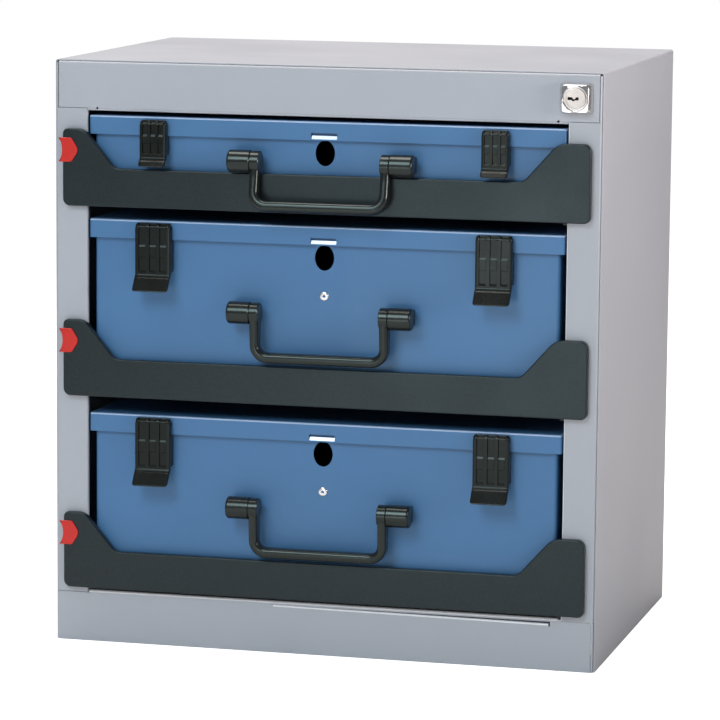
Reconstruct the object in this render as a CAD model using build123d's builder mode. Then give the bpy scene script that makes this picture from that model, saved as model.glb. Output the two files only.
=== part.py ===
from build123d import *
from math import acos, asin, atan2, cos, hypot, pi, sin
import os

# A steel cabinet that holds three sheet-steel cases.
# Each case stands in its own pull-out tray with a black front rail.
# +Z is up, the front faces -Y, and the origin is the middle of the footprint.
# All sizes are in millimetres.

# ---- sheet thicknesses and shared clearances
cabinet_sheet = 1.2
back_sheet = 1.0
case_sheet = 0.9
tray_sheet = 1.2
slide_sheet = 1.2
running_gap = 0.3
pivot_gap = 0.05
fold_radius = 0.9
through = 1.0

# ---- bail handle
pivot_standoff = 15.0
pivot_boss_radius = 10.2
pivot_boss_length = 21.0
pivot_foot_height = 15.0
pivot_shaft_radius = 4.0
handle_span = 128.0
handle_arm = 5.6
handle_depth = 12.0
handle_drop_to_grip = 40.5
grip_height = 8.0
handle_corner = 15.0
handle_edge = 2.4
handle_eye_radius = 9.7
grip_rail_gap = 4.0
bail_reach = handle_drop_to_grip + grip_height / 2

# ---- cases
lid_width = 440.0
case_depth = 330.0
lid_skirt = 17.0
lid_overhang = 4.5
lid_seat_gap = 0.2
case_corner = 2.0
lid_edge = 1.2

top = dict(name="top", case_height=66.0, room_above=4.1, pivot_rise=11.0,
           latch_width=23.5, latch_height=40.0, latch_drop=2.8, latch_flare=7.0,
           rib_width=2.6, latch_ledge=9.5, has_rivet=False)
middle = dict(name="middle", case_height=146.0, room_above=11.5,
              pivot_rise=bail_reach + grip_rail_gap, latch_width=33.0, latch_height=59.5,
              latch_drop=2.0, latch_flare=12.0, rib_width=3.4, latch_ledge=16.0, has_rivet=True)
bottom = dict(name="bottom", case_height=146.0, room_above=15.6,
              pivot_rise=bail_reach + grip_rail_gap, latch_width=33.0, latch_height=59.5,
              latch_drop=2.0, latch_flare=12.0, rib_width=3.4, latch_ledge=16.0, has_rivet=True)
levels = [bottom, middle, top]

# ---- slot, lock hole and rivet on the case front
lid_slot_width = 24.0
lid_slot_height = 5.5
lid_slot_rise = 4.0
slot_tongue_height = 2.6
lock_hole_width = 18.0
lock_hole_height = 23.0
lock_hole_drop = 28.5
rivet_drop = 63.0
rivet_head_radius = 4.2
rivet_head_height = 1.3
rivet_head_round = 1.04
rivet_shank_radius = 2.4
rivet_mandrel_radius = 1.1
rivet_tail_radius = 3.2
rivet_tail_length = 2.5

# ---- rear hinge of the lid
hinge_inset = 70.0
hinge_length = 45.0
hinge_knuckle_radius = 3.0
hinge_pin_radius = 1.5
hinge_leaf = 1.4
hinge_rise = 1.0

# ---- latches
latch_inset = 62.5
latch_barrel_radius = 3.9
latch_lid_gap = 0.4
latch_pin_radius = 1.4
latch_lug_radius = 2.3
latch_back = 2.2
latch_rib_height = 1.5
latch_wall = 1.5
latch_throw = 5.0
latch_ledge_height = 0.6
latch_foot_ridge = 2.0
catch_width = 11.0
catch_height = 5.0
catch_rise = 8.0

# ---- trays and their front rails
lid_side_gap = 1.5
tray_lip = 12.0
tray_side_gap = 0.5
tray_flange = 15.5
rail_drop = 16.5
rail_inset = 9.3
rail_height = 70.0
rail_middle_height = 35.0
rail_depth = 6.0
rail_skin = 2.0
rail_wall = 1.8
rail_gap = 0.5
ear_top_width = 20.0
ear_slope_run = 29.0
ear_top_radius = 4.5
ear_inner_radius = 9.0
ear_foot_radius = 12.0
rail_bottom_radius = 6.5
rail_peg_radius = 2.5
rail_peg_spacing = 110.0
rail_pegs = 4
rail_peg_reach = 3.0
rail_edge = 1.0

# ---- release buttons
button_travel = 3.0
button_overhang = 3.5
button_length = 19.0
button_height = 22.0
button_drop = 19.0
button_plate = 1.6
button_flat = 12.0
button_hollow = 3.4
button_gap = 0.2
button_bevel = 0.6
button_tip_radius = 4.0
stem_inset = 4.0
stem_width = 5.0
slider_width = 9.0
slider_height = 9.0
hook_width = 3.0
hook_height = 7.0
hook_reach = 7.0
spring_radius = 1.45
spring_wire = 0.22
spring_length = 9.0
spring_turns = 7

# ---- telescopic slides
slide_width = 27.0
slide_height = 11.0
slide_stile_gap = 1.0
slide_end_gap = 27.0
slide_inset = 3.7
support_sheet = 1.5
support_wall = 14.0

# ---- cabinet
stile_width = 31.0
stile_return = 12.0
fascia_height = 43.0
fascia_lip = 2.6
fascia_return = 15.0
fascia_side_strip = 1.8
plinth_height = 48.0
base_gap = 2.7
base_flange = 15.0
back_flange = 12.0
rear_room = 20.0
shell_bend = 2.5
frame_seam = 0.1

# ---- cam lock
lock_inset = 24.0
lock_drop = 22.5
bezel_face = 24.5
bezel_base = 30.0
bezel_depth = 9.0
bezel_corner = 3.0
lock_ring_radius = 12.0
lock_ring_depth = 0.7
barrel_radius = 9.7
barrel_edge = 0.5
lock_body_radius = 12.5
lock_body_length = 16.0
key_slot_length = 11.0
key_slot_width = 2.4
key_slot_depth = 6.0
key_ward_offset = 2.2
key_ward_length = 2.75
cam_plate = 2.0
cam_radius = 8.0
cam_pin_radius = 2.0
cam_width = 9.0
bar_sheet = 2.0
bar_width = 12.0
bar_wall_gap = 3.3
bar_tab_height = 2.0
bar_tab_drop = 0.4
bar_tab_gap = 0.4
bar_head_margin = 4.0
lug_gap = 1.8
lug_depth = 6.7
lug_top = 5.0
lug_bottom = 13.0
lug_side_gap = 0.9
lug_foot = 11.0

# ---- levels, from the plinth up
height_so_far = plinth_height + base_gap
for level in levels:
    level["rail_z"] = height_so_far
    level["case_z"] = level["rail_z"] + rail_drop
    level["lid_z"] = level["case_z"] + level["case_height"]
    height_so_far = level["lid_z"] + level["room_above"]
opening_top = height_so_far
cabinet_height = opening_top + fascia_lip + fascia_height

# ---- widths, counted from the middle plane
lid_half = lid_width / 2
body_half = lid_half - lid_overhang
opening_half = lid_half + lid_side_gap
cabinet_half = opening_half + stile_width
inner_half = cabinet_half - cabinet_sheet
rail_half = cabinet_half - rail_inset
tray_half = body_half + tray_side_gap + tray_sheet
slide_offset = tray_half - slide_inset - slide_width / 2
arm_outer = handle_span / 2
latch_spacing = lid_width - 2 * latch_inset
hinge_spacing = lid_width - 2 * hinge_inset
bar_outer = inner_half - bar_wall_gap
bar_inner = bar_outer - bar_width
bar_tab_reach = tray_half + bar_tab_gap
bar_stroke = cam_radius
lug_reach = opening_half - lug_side_gap

# ---- the thin case's bail leans on its rail, which sets how far it reaches
pivot_depth = lid_overhang - pivot_standoff
rail_front_depth = -rail_gap - rail_depth
rail_ahead_of_pivot = rail_front_depth - pivot_depth
bail_lean = (asin((handle_depth / 2 + running_gap)
                  / hypot(rail_ahead_of_pivot, top["pivot_rise"]))
             - atan2(rail_ahead_of_pivot, top["pivot_rise"]))
front_reach = (-pivot_depth + (bail_reach - handle_edge) * sin(bail_lean)
               + (handle_depth / 2 - handle_edge) * cos(bail_lean) + handle_edge)

# ---- depths, counted from the cabinet's front plane
cabinet_depth = case_depth + rear_room
latch_pivot_out = latch_barrel_radius + latch_lid_gap
front = (front_reach - cabinet_depth) / 2
rear = front + cabinet_depth
body_front = front + lid_overhang
body_rear = front + case_depth - lid_overhang
lid_rear = front + case_depth
rail_front = front + rail_front_depth
rail_back = front - rail_gap
pivot_y = front + pivot_depth
hinge_y = lid_rear + hinge_knuckle_radius
slide_start = stile_return + slide_stile_gap
slide_length = cabinet_depth - slide_start - slide_end_gap
lock_x = cabinet_half - lock_inset
lock_z = cabinet_height - lock_drop
cam_front = front + cabinet_sheet + lock_body_length + running_gap
bar_front = cam_front + cam_plate + running_gap

os.makedirs("parts", exist_ok=True)


def save(builder, label):
    builder.part.label = label
    export_step(builder.part, f"parts/{label}.step")


def block(x0, x1, y0, y1, z0, z1, mode=Mode.ADD):
    """A box between two corners, added to the part being built."""
    with Locations(((x0 + x1) / 2, (y0 + y1) / 2, (z0 + z1) / 2)):
        Box(x1 - x0, y1 - y0, z1 - z0, mode=mode)


def rod(x0, x1, y, z, radius, mode=Mode.ADD):
    """A round bar along X."""
    with Locations(Location(((x0 + x1) / 2, y, z), (0, 90, 0))):
        Cylinder(radius, x1 - x0, mode=mode)


def stud(x, z, y0, y1, radius, mode=Mode.ADD):
    """A round bar along Y."""
    with Locations(Location((x, (y0 + y1) / 2, z), (90, 0, 0))):
        Cylinder(radius, y1 - y0, mode=mode)


# ================================================================ cabinet

def make_outer_shell():
    shell_rear = rear - back_sheet
    with BuildPart() as shell:
        with BuildSketch(Plane.XZ.offset(-front)) as wrap:
            with Locations((0, cabinet_height / 2)):
                Rectangle(2 * cabinet_half, cabinet_height)
            top_corners = wrap.vertices().group_by(Axis.Y)[-1]
            fillet(top_corners, shell_bend)
        extrude(amount=front - shell_rear)
        with BuildSketch(Plane.XZ.offset(-front)) as hollow:
            with Locations((0, (cabinet_height - cabinet_sheet) / 2)):
                Rectangle(2 * inner_half, cabinet_height - cabinet_sheet)
            top_corners = hollow.vertices().group_by(Axis.Y)[-1]
            fillet(top_corners, shell_bend - cabinet_sheet)
        extrude(amount=front - shell_rear, mode=Mode.SUBTRACT)
        for side in (-1, 1):
            foot = sorted((side * (inner_half - base_flange), side * inner_half))
            block(*foot, front + cabinet_sheet, shell_rear, 0, cabinet_sheet)
            edge = sorted((side * (inner_half - back_flange), side * inner_half))
            block(*edge, shell_rear - cabinet_sheet, shell_rear, 0, cabinet_height - cabinet_sheet)
        block(-inner_half, inner_half, shell_rear - cabinet_sheet, shell_rear,
              cabinet_height - cabinet_sheet - back_flange, cabinet_height - cabinet_sheet)
    save(shell, "outer_shell")


def make_back_panel():
    with BuildPart() as panel:
        with BuildSketch(Plane.XZ.offset(-(rear - back_sheet))) as outline:
            with Locations((0, cabinet_height / 2)):
                Rectangle(2 * cabinet_half, cabinet_height)
            fillet(outline.vertices(), shell_bend)
        extrude(amount=-back_sheet)
    save(panel, "back_panel")


def make_floor_pan():
    pan_top = plinth_height - cabinet_sheet
    pan_rear = rear - back_sheet - cabinet_sheet
    with BuildPart() as pan:
        block(-inner_half, inner_half, front + cabinet_sheet, pan_rear,
              pan_top - cabinet_sheet, pan_top)
        block(-inner_half, inner_half, pan_rear - cabinet_sheet, pan_rear,
              pan_top - base_flange, pan_top)
    save(pan, "floor_pan")


def make_plinth():
    with BuildPart() as plinth:
        block(-inner_half, inner_half, front, front + cabinet_sheet, 0, plinth_height)
        block(-inner_half, inner_half, front, front + fascia_return,
              plinth_height - cabinet_sheet, plinth_height)
        block(-inner_half + base_flange, inner_half - base_flange, front, front + base_flange,
              0, cabinet_sheet)
        top_front = plinth.edges().filter_by(Axis.X).group_by(Axis.Z)[-1].sort_by(Axis.Y)[0]
        fillet(top_front, fold_radius)
    save(plinth, "plinth")


def make_top_fascia():
    fascia_half = inner_half - fascia_side_strip
    face_bottom = opening_top + fascia_lip
    face_top = cabinet_height - cabinet_sheet
    with BuildPart() as fascia:
        block(-fascia_half, fascia_half, front, front + cabinet_sheet, face_bottom, face_top)
        block(-opening_half, opening_half, front, front + cabinet_sheet, opening_top, face_bottom)
        block(-opening_half, opening_half, front, front + fascia_return,
              opening_top, opening_top + cabinet_sheet)
        block(-fascia_half, fascia_half, front, front + fascia_return,
              face_top - cabinet_sheet, face_top)
        stud(lock_x, lock_z, front - through, front + cabinet_sheet + through,
             lock_body_radius + frame_seam, mode=Mode.SUBTRACT)
        lip_edge = fascia.edges().filter_by(Axis.X).group_by(Axis.Z)[0].sort_by(Axis.Y)[0]
        fillet(lip_edge, fold_radius)
    save(fascia, "top_fascia")


def make_stile(side, label):
    face_top = opening_top + fascia_lip - frame_seam
    strip_inner = inner_half - fascia_side_strip + frame_seam
    face_bottom = plinth_height + frame_seam

    def across(a, b):
        return sorted((side * a, side * b))

    with BuildPart() as stile:
        block(*across(opening_half, inner_half), front, front + cabinet_sheet,
              face_bottom, face_top)
        block(*across(strip_inner, inner_half), front, front + cabinet_sheet,
              face_bottom, cabinet_height - shell_bend)
        block(*across(opening_half, opening_half + cabinet_sheet), front, front + stile_return,
              face_bottom, face_top)
        block(*across(inner_half - cabinet_sheet, inner_half), front, front + stile_return,
              face_bottom, face_top)
        if side < 0:
            for level in levels:
                cut_hook_hole(level)
        else:
            for level in levels:
                cut_tab_slot(level)
    save(stile, label)


def cut_hook_hole(level):
    """The hole in the left stile that the release button's hook goes through."""
    middle_z = level["rail_z"] + rail_height - button_drop
    hook_x = -rail_half + stem_inset + stem_width
    block(hook_x - hook_width - running_gap, hook_x + button_travel + running_gap,
          front - through, front + cabinet_sheet + through,
          middle_z - hook_height / 2 - running_gap, middle_z + hook_height / 2 + running_gap,
          mode=Mode.SUBTRACT)


def cut_tab_slot(level):
    """The slot in the right stile's fold that a locking tab rises in."""
    tab_top = level["rail_z"] - bar_tab_drop
    block(opening_half - through, opening_half + cabinet_sheet + through,
          front + cabinet_sheet, front + cabinet_sheet + running_gap + bar_sheet + running_gap,
          tab_top - bar_tab_height - running_gap, tab_top + bar_stroke + running_gap,
          mode=Mode.SUBTRACT)


def support_z(level):
    """Top face of the ledge that a level's slides stand on."""
    return level["case_z"] - tray_sheet - slide_height


def make_slide_supports():
    with BuildPart() as supports:
        for level in levels:
            ledge_top = support_z(level)
            for side in (-1, 1):
                ledge = sorted((side * (slide_offset - slide_width / 2), side * inner_half))
                block(*ledge, front + slide_start, front + slide_start + slide_length,
                      ledge_top - support_sheet, ledge_top)
                wall = sorted((side * (inner_half - support_sheet), side * inner_half))
                block(*wall, front + slide_start, front + slide_start + slide_length,
                      ledge_top - support_sheet, ledge_top - support_sheet + support_wall)
            block(bar_inner - running_gap, bar_outer + running_gap,
                  front + slide_start - through, bar_front + bar_sheet + running_gap,
                  ledge_top - support_sheet - through, ledge_top + through, mode=Mode.SUBTRACT)
    save(supports, "slide_supports")


def make_slide_outers():
    with BuildPart() as outers:
        for level in levels:
            for side in (-1, 1):
                add_channel(side * slide_offset, support_z(level), slide_width / 2,
                            slide_height - slide_sheet - running_gap)
    save(outers, "slide_outers")


def add_channel(x, z, half, height):
    """An open-topped channel of slide steel with in-turned lips."""
    y0 = front + slide_start
    y1 = y0 + slide_length
    block(x - half, x + half, y0, y1, z, z + slide_sheet)
    for side in (-1, 1):
        wall = sorted((x + side * half, x + side * (half - slide_sheet)))
        block(*wall, y0, y1, z, z + height)


# ================================================================ cam lock

def make_lock_housing():
    with BuildPart() as housing:
        with BuildSketch(Plane.XZ.offset(-front)) as base:
            with Locations((lock_x, lock_z)):
                RectangleRounded(bezel_base, bezel_base, bezel_corner)
        with BuildSketch(Plane.XZ.offset(-front + bezel_depth)) as face:
            with Locations((lock_x, lock_z)):
                RectangleRounded(bezel_face, bezel_face, bezel_corner)
        loft()
        stud(lock_x, lock_z, front, front + cabinet_sheet + lock_body_length, lock_body_radius)
        stud(lock_x, lock_z, front - bezel_depth, front - bezel_depth + lock_ring_depth,
             lock_ring_radius, mode=Mode.SUBTRACT)
        stud(lock_x, lock_z, front - bezel_depth, front + cabinet_sheet + lock_body_length,
             barrel_radius + pivot_gap, mode=Mode.SUBTRACT)
    save(housing, "lock_housing")


def make_lock_barrel():
    with BuildPart() as barrel:
        stud(lock_x, lock_z, front - bezel_depth, cam_front, barrel_radius)
        face_edge = barrel.edges().filter_by(GeomType.CIRCLE).sort_by(Axis.Y)[0]
        chamfer(face_edge, barrel_edge)
        with BuildSketch(Plane.XZ.offset(-front + bezel_depth)) as key_slot:
            with Locations((lock_x, lock_z)):
                Rectangle(key_slot_length, key_slot_width)
                for side in (-1, 1):
                    with Locations((side * key_ward_offset, side * key_slot_width / 2)):
                        Rectangle(key_ward_length, key_slot_width / 2)
        extrude(amount=-key_slot_depth, mode=Mode.SUBTRACT)
        with BuildSketch(Plane.XZ.offset(-cam_front)) as cam:
            with Locations((lock_x + cam_radius / 2, lock_z)):
                SlotOverall(cam_radius + cam_width, cam_width)
        extrude(amount=-cam_plate)
        stud(lock_x + cam_radius, lock_z, cam_front + cam_plate,
             bar_front + bar_sheet + running_gap, cam_pin_radius)
    save(barrel, "lock_barrel")


def make_locking_bar():
    head_bottom = lock_z - cam_width
    head_top = lock_z + cam_width
    head_inner = lock_x - cam_pin_radius - bar_head_margin
    furthest_turn = acos(2 / pi)
    lost_motion = cam_radius * (sin(furthest_turn) - furthest_turn * 2 / pi)
    with BuildPart() as bar:
        block(bar_inner, bar_outer, bar_front, bar_front + bar_sheet,
              bottom["rail_z"] - bar_tab_drop - bar_tab_height, head_top)
        block(head_inner, bar_outer, bar_front, bar_front + bar_sheet, head_bottom, head_top)
        block(lock_x - cam_pin_radius - running_gap,
              lock_x + cam_radius + cam_pin_radius + running_gap,
              bar_front - through, bar_front + bar_sheet + through,
              lock_z - cam_pin_radius - 2 * pivot_gap,
              lock_z + cam_pin_radius + lost_motion + 2 * pivot_gap, mode=Mode.SUBTRACT)
        for level in levels:
            tab_top = level["rail_z"] - bar_tab_drop
            tab_front = front + cabinet_sheet + running_gap
            block(bar_inner, bar_inner + bar_sheet, tab_front, bar_front + bar_sheet,
                  tab_top - bar_tab_height, tab_top)
            block(bar_tab_reach, bar_inner + bar_sheet, tab_front, tab_front + bar_sheet,
                  tab_top - bar_tab_height, tab_top)
    save(bar, "locking_bar")


# ================================================================ slides and trays

def make_slide_middles(level):
    with BuildPart() as middles:
        for side in (-1, 1):
            add_channel(side * slide_offset, support_z(level) + slide_sheet + running_gap,
                        slide_width / 2 - slide_sheet - running_gap,
                        slide_height - 2 * slide_sheet - 2 * running_gap)
    save(middles, level["name"] + "_slide_middles")


def make_slide_runners(level):
    top_z = level["case_z"] - tray_sheet
    half = slide_width / 2 - 2 * slide_sheet - 2 * running_gap
    y0 = front + slide_start
    y1 = y0 + slide_length
    with BuildPart() as runners:
        for side in (-1, 1):
            x = side * slide_offset
            block(x - half, x + half, y0, y1, top_z - slide_sheet, top_z)
            for edge in (-1, 1):
                wall = sorted((x + edge * half, x + edge * (half - slide_sheet)))
                block(*wall, y0, y1, support_z(level) + 2 * slide_sheet + 2 * running_gap, top_z)
    save(runners, level["name"] + "_slide_runners")


def make_tray(level):
    floor = level["case_z"]
    flange_bottom = floor - tray_flange
    back = body_rear + tray_side_gap + tray_sheet
    lug_front = front + cabinet_sheet + running_gap + bar_sheet + lug_gap
    with BuildPart() as tray:
        block(-tray_half, tray_half, rail_back, back, floor - tray_sheet, floor)
        block(-tray_half, tray_half, rail_back, rail_back + tray_sheet, flange_bottom, floor)
        block(-tray_half, tray_half, back - tray_sheet, back, floor, floor + tray_lip)
        for side in (-1, 1):
            wall = sorted((side * tray_half, side * (tray_half - tray_sheet)))
            block(*wall, rail_back, back, floor, floor + tray_lip)
        lug_inner = tray_half - tray_sheet
        foot_top = floor - tray_sheet - frame_seam
        block(tray_half - lug_foot, tray_half, lug_front, lug_front + lug_depth,
              foot_top - tray_sheet, foot_top)
        block(lug_inner, tray_half, lug_front, lug_front + lug_depth,
              floor - lug_bottom, foot_top)
        block(lug_inner, lug_reach, lug_front, lug_front + tray_sheet,
              floor - lug_bottom, floor - lug_top)
        for x in peg_places():
            stud(x, floor - tray_flange / 2, rail_back - through, rail_back + tray_sheet + through,
                 rail_peg_radius + pivot_gap, mode=Mode.SUBTRACT)
    save(tray, level["name"] + "_tray")


def peg_places():
    first = -rail_peg_spacing * (rail_pegs - 1) / 2
    return [first + rail_peg_spacing * i for i in range(rail_pegs)]


def rail_outline(z):
    """Corner points of the rail's front view, from the lower left, clockwise."""
    ear = rail_half - ear_top_width
    foot = ear - ear_slope_run
    return [(-rail_half, z), (-rail_half, z + rail_height), (-ear, z + rail_height),
            (-foot, z + rail_middle_height), (foot, z + rail_middle_height),
            (ear, z + rail_height), (rail_half, z + rail_height), (rail_half, z)]


def round_rail(outline, z):
    """Rounds the corners of the rail's outline sketch."""
    corners = outline.vertices().sort_by(Axis.Y)
    lows = corners[:2]
    feet = corners[2:4]
    tops = corners[4:]
    outer = [v for v in tops if abs(v.X) > rail_half - through]
    inner = [v for v in tops if abs(v.X) <= rail_half - through]
    fillet(lows, rail_bottom_radius)
    fillet(feet, ear_foot_radius)
    fillet(outer, ear_top_radius)
    fillet(inner, ear_inner_radius)


def make_front_rail(level):
    z = level["rail_z"]
    middle_z = z + rail_height - button_drop
    slider_left = -rail_half + stem_inset
    slider_right = slider_left + slider_width
    spring_end = slider_right + spring_length
    cavity = rail_front + rail_skin
    with BuildPart() as rail:
        with BuildSketch(Plane.XZ.offset(-rail_back)) as outline:
            with BuildLine():
                Polyline(*rail_outline(z), close=True)
            make_face()
            round_rail(outline, z)
        extrude(amount=rail_depth)
        with BuildSketch(Plane.XZ.offset(-rail_back)) as hollow:
            with BuildLine():
                Polyline(*rail_outline(z), close=True)
            make_face()
            round_rail(hollow, z)
            offset(amount=-rail_wall, mode=Mode.REPLACE)
        extrude(amount=rail_depth - rail_skin, mode=Mode.SUBTRACT)
        front_edges = rail.faces().sort_by(Axis.Y)[0].outer_wire().edges()
        fillet(front_edges, rail_edge)
        for x in peg_places():
            stud(x, level["case_z"] - tray_flange / 2, cavity, rail_back + rail_peg_reach,
                 rail_peg_radius)
        for edge in (-1, 1):
            rib_z = middle_z + edge * (slider_height / 2 + button_gap + rail_wall / 2)
            block(-rail_half + rail_wall, spring_end + rail_wall, cavity, rail_back,
                  rib_z - rail_wall / 2, rib_z + rail_wall / 2)
        block(spring_end, spring_end + rail_wall, cavity, rail_back,
              middle_z - slider_height / 2 - rail_wall, middle_z + slider_height / 2 + rail_wall)
        block(slider_left - button_gap, slider_left + stem_width + button_travel + button_gap,
              rail_front - through, cavity + through,
              middle_z - slider_height / 2 + button_gap, middle_z + slider_height / 2 - button_gap,
              mode=Mode.SUBTRACT)
    save(rail, level["name"] + "_front_rail")


def make_release_button(level):
    middle_z = level["rail_z"] + rail_height - button_drop
    left = -rail_half - button_overhang
    tip = left + button_length
    flat_end = left + button_flat
    half = button_height / 2
    plate_back = rail_front - button_gap
    slider_left = -rail_half + stem_inset
    hook_x = slider_left + stem_width
    with BuildPart() as button:
        with BuildSketch(Plane.XZ.offset(-plate_back)) as plate:
            with BuildLine():
                Polyline((left, middle_z + half), (flat_end, middle_z + half),
                         (tip, middle_z), (flat_end, middle_z - half), (left, middle_z - half))
                ThreePointArc((left, middle_z - half), (left + button_hollow, middle_z),
                              (left, middle_z + half))
            make_face()
            tip_corner = plate.vertices().sort_by(Axis.X)[-1]
            fillet(tip_corner, button_tip_radius)
        extrude(amount=button_plate)
        face_edges = button.faces().sort_by(Axis.Y)[0].outer_wire().edges()
        chamfer(face_edges, button_bevel)
        block(slider_left, slider_left + stem_width, plate_back - button_plate / 2,
              rail_front + rail_skin + button_gap,
              middle_z - slider_height / 2 + 2 * button_gap,
              middle_z + slider_height / 2 - 2 * button_gap)
        block(slider_left, slider_left + slider_width, rail_front + rail_skin + button_gap,
              rail_back - button_gap, middle_z - slider_height / 2, middle_z + slider_height / 2)
        block(hook_x - hook_width, hook_x, rail_back - button_gap - through,
              front + cabinet_sheet + hook_reach,
              middle_z - hook_height / 2, middle_z + hook_height / 2)
    save(button, level["name"] + "_release_button")


def make_button_spring(level):
    middle_z = level["rail_z"] + rail_height - button_drop
    start = -rail_half + stem_inset + slider_width
    axis_y = (rail_front + rail_skin + rail_back) / 2
    coil_pitch = (spring_length - 2 * spring_wire) / spring_turns
    with BuildPart() as spring:
        with BuildLine() as coil:
            Helix(coil_pitch, spring_turns * coil_pitch, spring_radius,
                  center=(start + spring_wire, axis_y, middle_z), direction=(1, 0, 0))
        with BuildSketch(Plane(origin=coil.line @ 0, z_dir=coil.line % 0)):
            Circle(spring_wire)
        sweep(path=coil.line, is_frenet=True)
    save(spring, level["name"] + "_button_spring")


# ================================================================ cases

def make_case_body(level):
    z0 = level["case_z"]
    z1 = level["lid_z"] - case_sheet - lid_seat_gap
    axis_z = level["lid_z"] - lid_skirt + hinge_rise
    hole_z = level["lid_z"] - lock_hole_drop
    with BuildPart() as body:
        with BuildSketch(Plane.XY.offset(z0)) as footprint:
            with Locations((0, (body_front + body_rear) / 2)):
                RectangleRounded(2 * body_half, body_rear - body_front, case_corner)
        extrude(amount=z1 - z0)
        with BuildSketch(Plane.XY.offset(z0 + case_sheet)) as inside:
            with Locations((0, (body_front + body_rear) / 2)):
                RectangleRounded(2 * (body_half - case_sheet),
                                 body_rear - body_front - 2 * case_sheet,
                                 case_corner - case_sheet)
        extrude(amount=z1 - z0, mode=Mode.SUBTRACT)
        with BuildSketch(Plane.XZ.offset(-body_front)) as lock_hole:
            with Locations((0, hole_z)):
                SlotOverall(lock_hole_height, lock_hole_width, rotation=90)
        extrude(amount=-case_sheet, mode=Mode.SUBTRACT)
        if level["has_rivet"]:
            stud(0, level["lid_z"] - rivet_drop, body_front - through, body_front + case_sheet + through,
                 rivet_shank_radius, mode=Mode.SUBTRACT)
        for side in (-1, 1):
            for end in (-1, 1):
                x0, x1 = knuckle_span(side, end)
                block(x0, x1, body_rear, hinge_y, axis_z - hinge_knuckle_radius,
                      axis_z - hinge_knuckle_radius + hinge_leaf)
                rod(x0, x1, hinge_y, axis_z, hinge_knuckle_radius)
                rod(x0, x1, hinge_y, axis_z, hinge_pin_radius, mode=Mode.SUBTRACT)
    save(body, level["name"] + "_case_body")


def knuckle_span(side, end):
    """X range of one knuckle: end -1 and 1 are the body's, end 0 is the lid's."""
    centre = side * hinge_spacing / 2
    third = hinge_length / 3
    x0 = centre + end * third - third / 2
    inset = running_gap / 2
    return x0 + inset, x0 + third - inset


def make_case_lid(level):
    z1 = level["lid_z"]
    z0 = z1 - lid_skirt
    axis_z = z0 + hinge_rise
    slot_z = z0 + lid_slot_rise
    with BuildPart() as lid:
        with BuildSketch(Plane.XY.offset(z0)) as footprint:
            with Locations((0, (front + lid_rear) / 2)):
                RectangleRounded(lid_width, case_depth, case_corner)
        extrude(amount=lid_skirt)
        top_edges = lid.edges().group_by(Axis.Z)[-1]
        fillet(top_edges, lid_edge)
        with BuildSketch(Plane.XY.offset(z0)) as inside:
            with Locations((0, (front + lid_rear) / 2)):
                RectangleRounded(lid_width - 2 * case_sheet, case_depth - 2 * case_sheet,
                                 case_corner - case_sheet)
        extrude(amount=lid_skirt - case_sheet, mode=Mode.SUBTRACT)
        block(-lid_slot_width / 2, lid_slot_width / 2, front - through, front + case_sheet + through,
              slot_z - lid_slot_height / 2, slot_z + lid_slot_height / 2, mode=Mode.SUBTRACT)
        with BuildSketch(Plane.YZ.offset(-lid_slot_width / 2)) as tongue:
            low = slot_z - lid_slot_height / 2
            with BuildLine():
                Polyline((front, low), (front + case_sheet, low),
                         (front + 2 * case_sheet, low + slot_tongue_height),
                         (front + case_sheet, low + slot_tongue_height), close=True)
            make_face()
        extrude(amount=lid_slot_width)
        for side in (-1, 1):
            x0, x1 = knuckle_span(side, 0)
            block(x0, x1, lid_rear - case_sheet, hinge_y, axis_z + hinge_knuckle_radius - hinge_leaf,
                  axis_z + hinge_knuckle_radius)
            rod(x0, x1, hinge_y, axis_z, hinge_knuckle_radius)
            rod(x0, x1, hinge_y, axis_z, hinge_pin_radius + pivot_gap, mode=Mode.SUBTRACT)
    save(lid, level["name"] + "_case_lid")


def make_lid_hinge_pins(level):
    axis_z = level["lid_z"] - lid_skirt + hinge_rise
    with BuildPart() as pins:
        for side in (-1, 1):
            centre = side * hinge_spacing / 2
            rod(centre - hinge_length / 2, centre + hinge_length / 2, hinge_y, axis_z,
                hinge_pin_radius)
    save(pins, level["name"] + "_lid_hinge_pins")


def make_case_rivet(level):
    z = level["lid_z"] - rivet_drop
    inner_face = body_front + case_sheet
    with BuildPart() as rivet:
        stud(0, z, body_front - rivet_head_height, body_front, rivet_head_radius)
        rim = rivet.edges().filter_by(GeomType.CIRCLE).sort_by(Axis.Y)[0]
        fillet(rim, rivet_head_round)
        stud(0, z, body_front, inner_face, rivet_shank_radius)
        stud(0, z, inner_face, inner_face + rivet_tail_length, rivet_tail_radius)
        stud(0, z, body_front - rivet_head_height, body_front + case_sheet,
             rivet_mandrel_radius, mode=Mode.SUBTRACT)
    save(rivet, level["name"] + "_case_rivet")


def handle_axis(level):
    return level["rail_z"] + rail_middle_height + level["pivot_rise"]


def make_handle_pivots(level):
    z = handle_axis(level)
    inner_end = arm_outer + running_gap
    outer_end = inner_end + pivot_boss_length
    shaft_end = arm_outer - handle_arm + running_gap
    with BuildPart() as pivots:
        for side in (-1, 1):
            x0, x1 = sorted((side * inner_end, side * outer_end))
            rod(x0, x1, pivot_y, z, pivot_boss_radius)
            block(x0, x1, pivot_y, body_front, z - pivot_foot_height / 2,
                  z + pivot_foot_height / 2)
            rod(*sorted((side * shaft_end, side * inner_end)), pivot_y, z, pivot_shaft_radius)
    save(pivots, level["name"] + "_handle_pivots")


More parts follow.
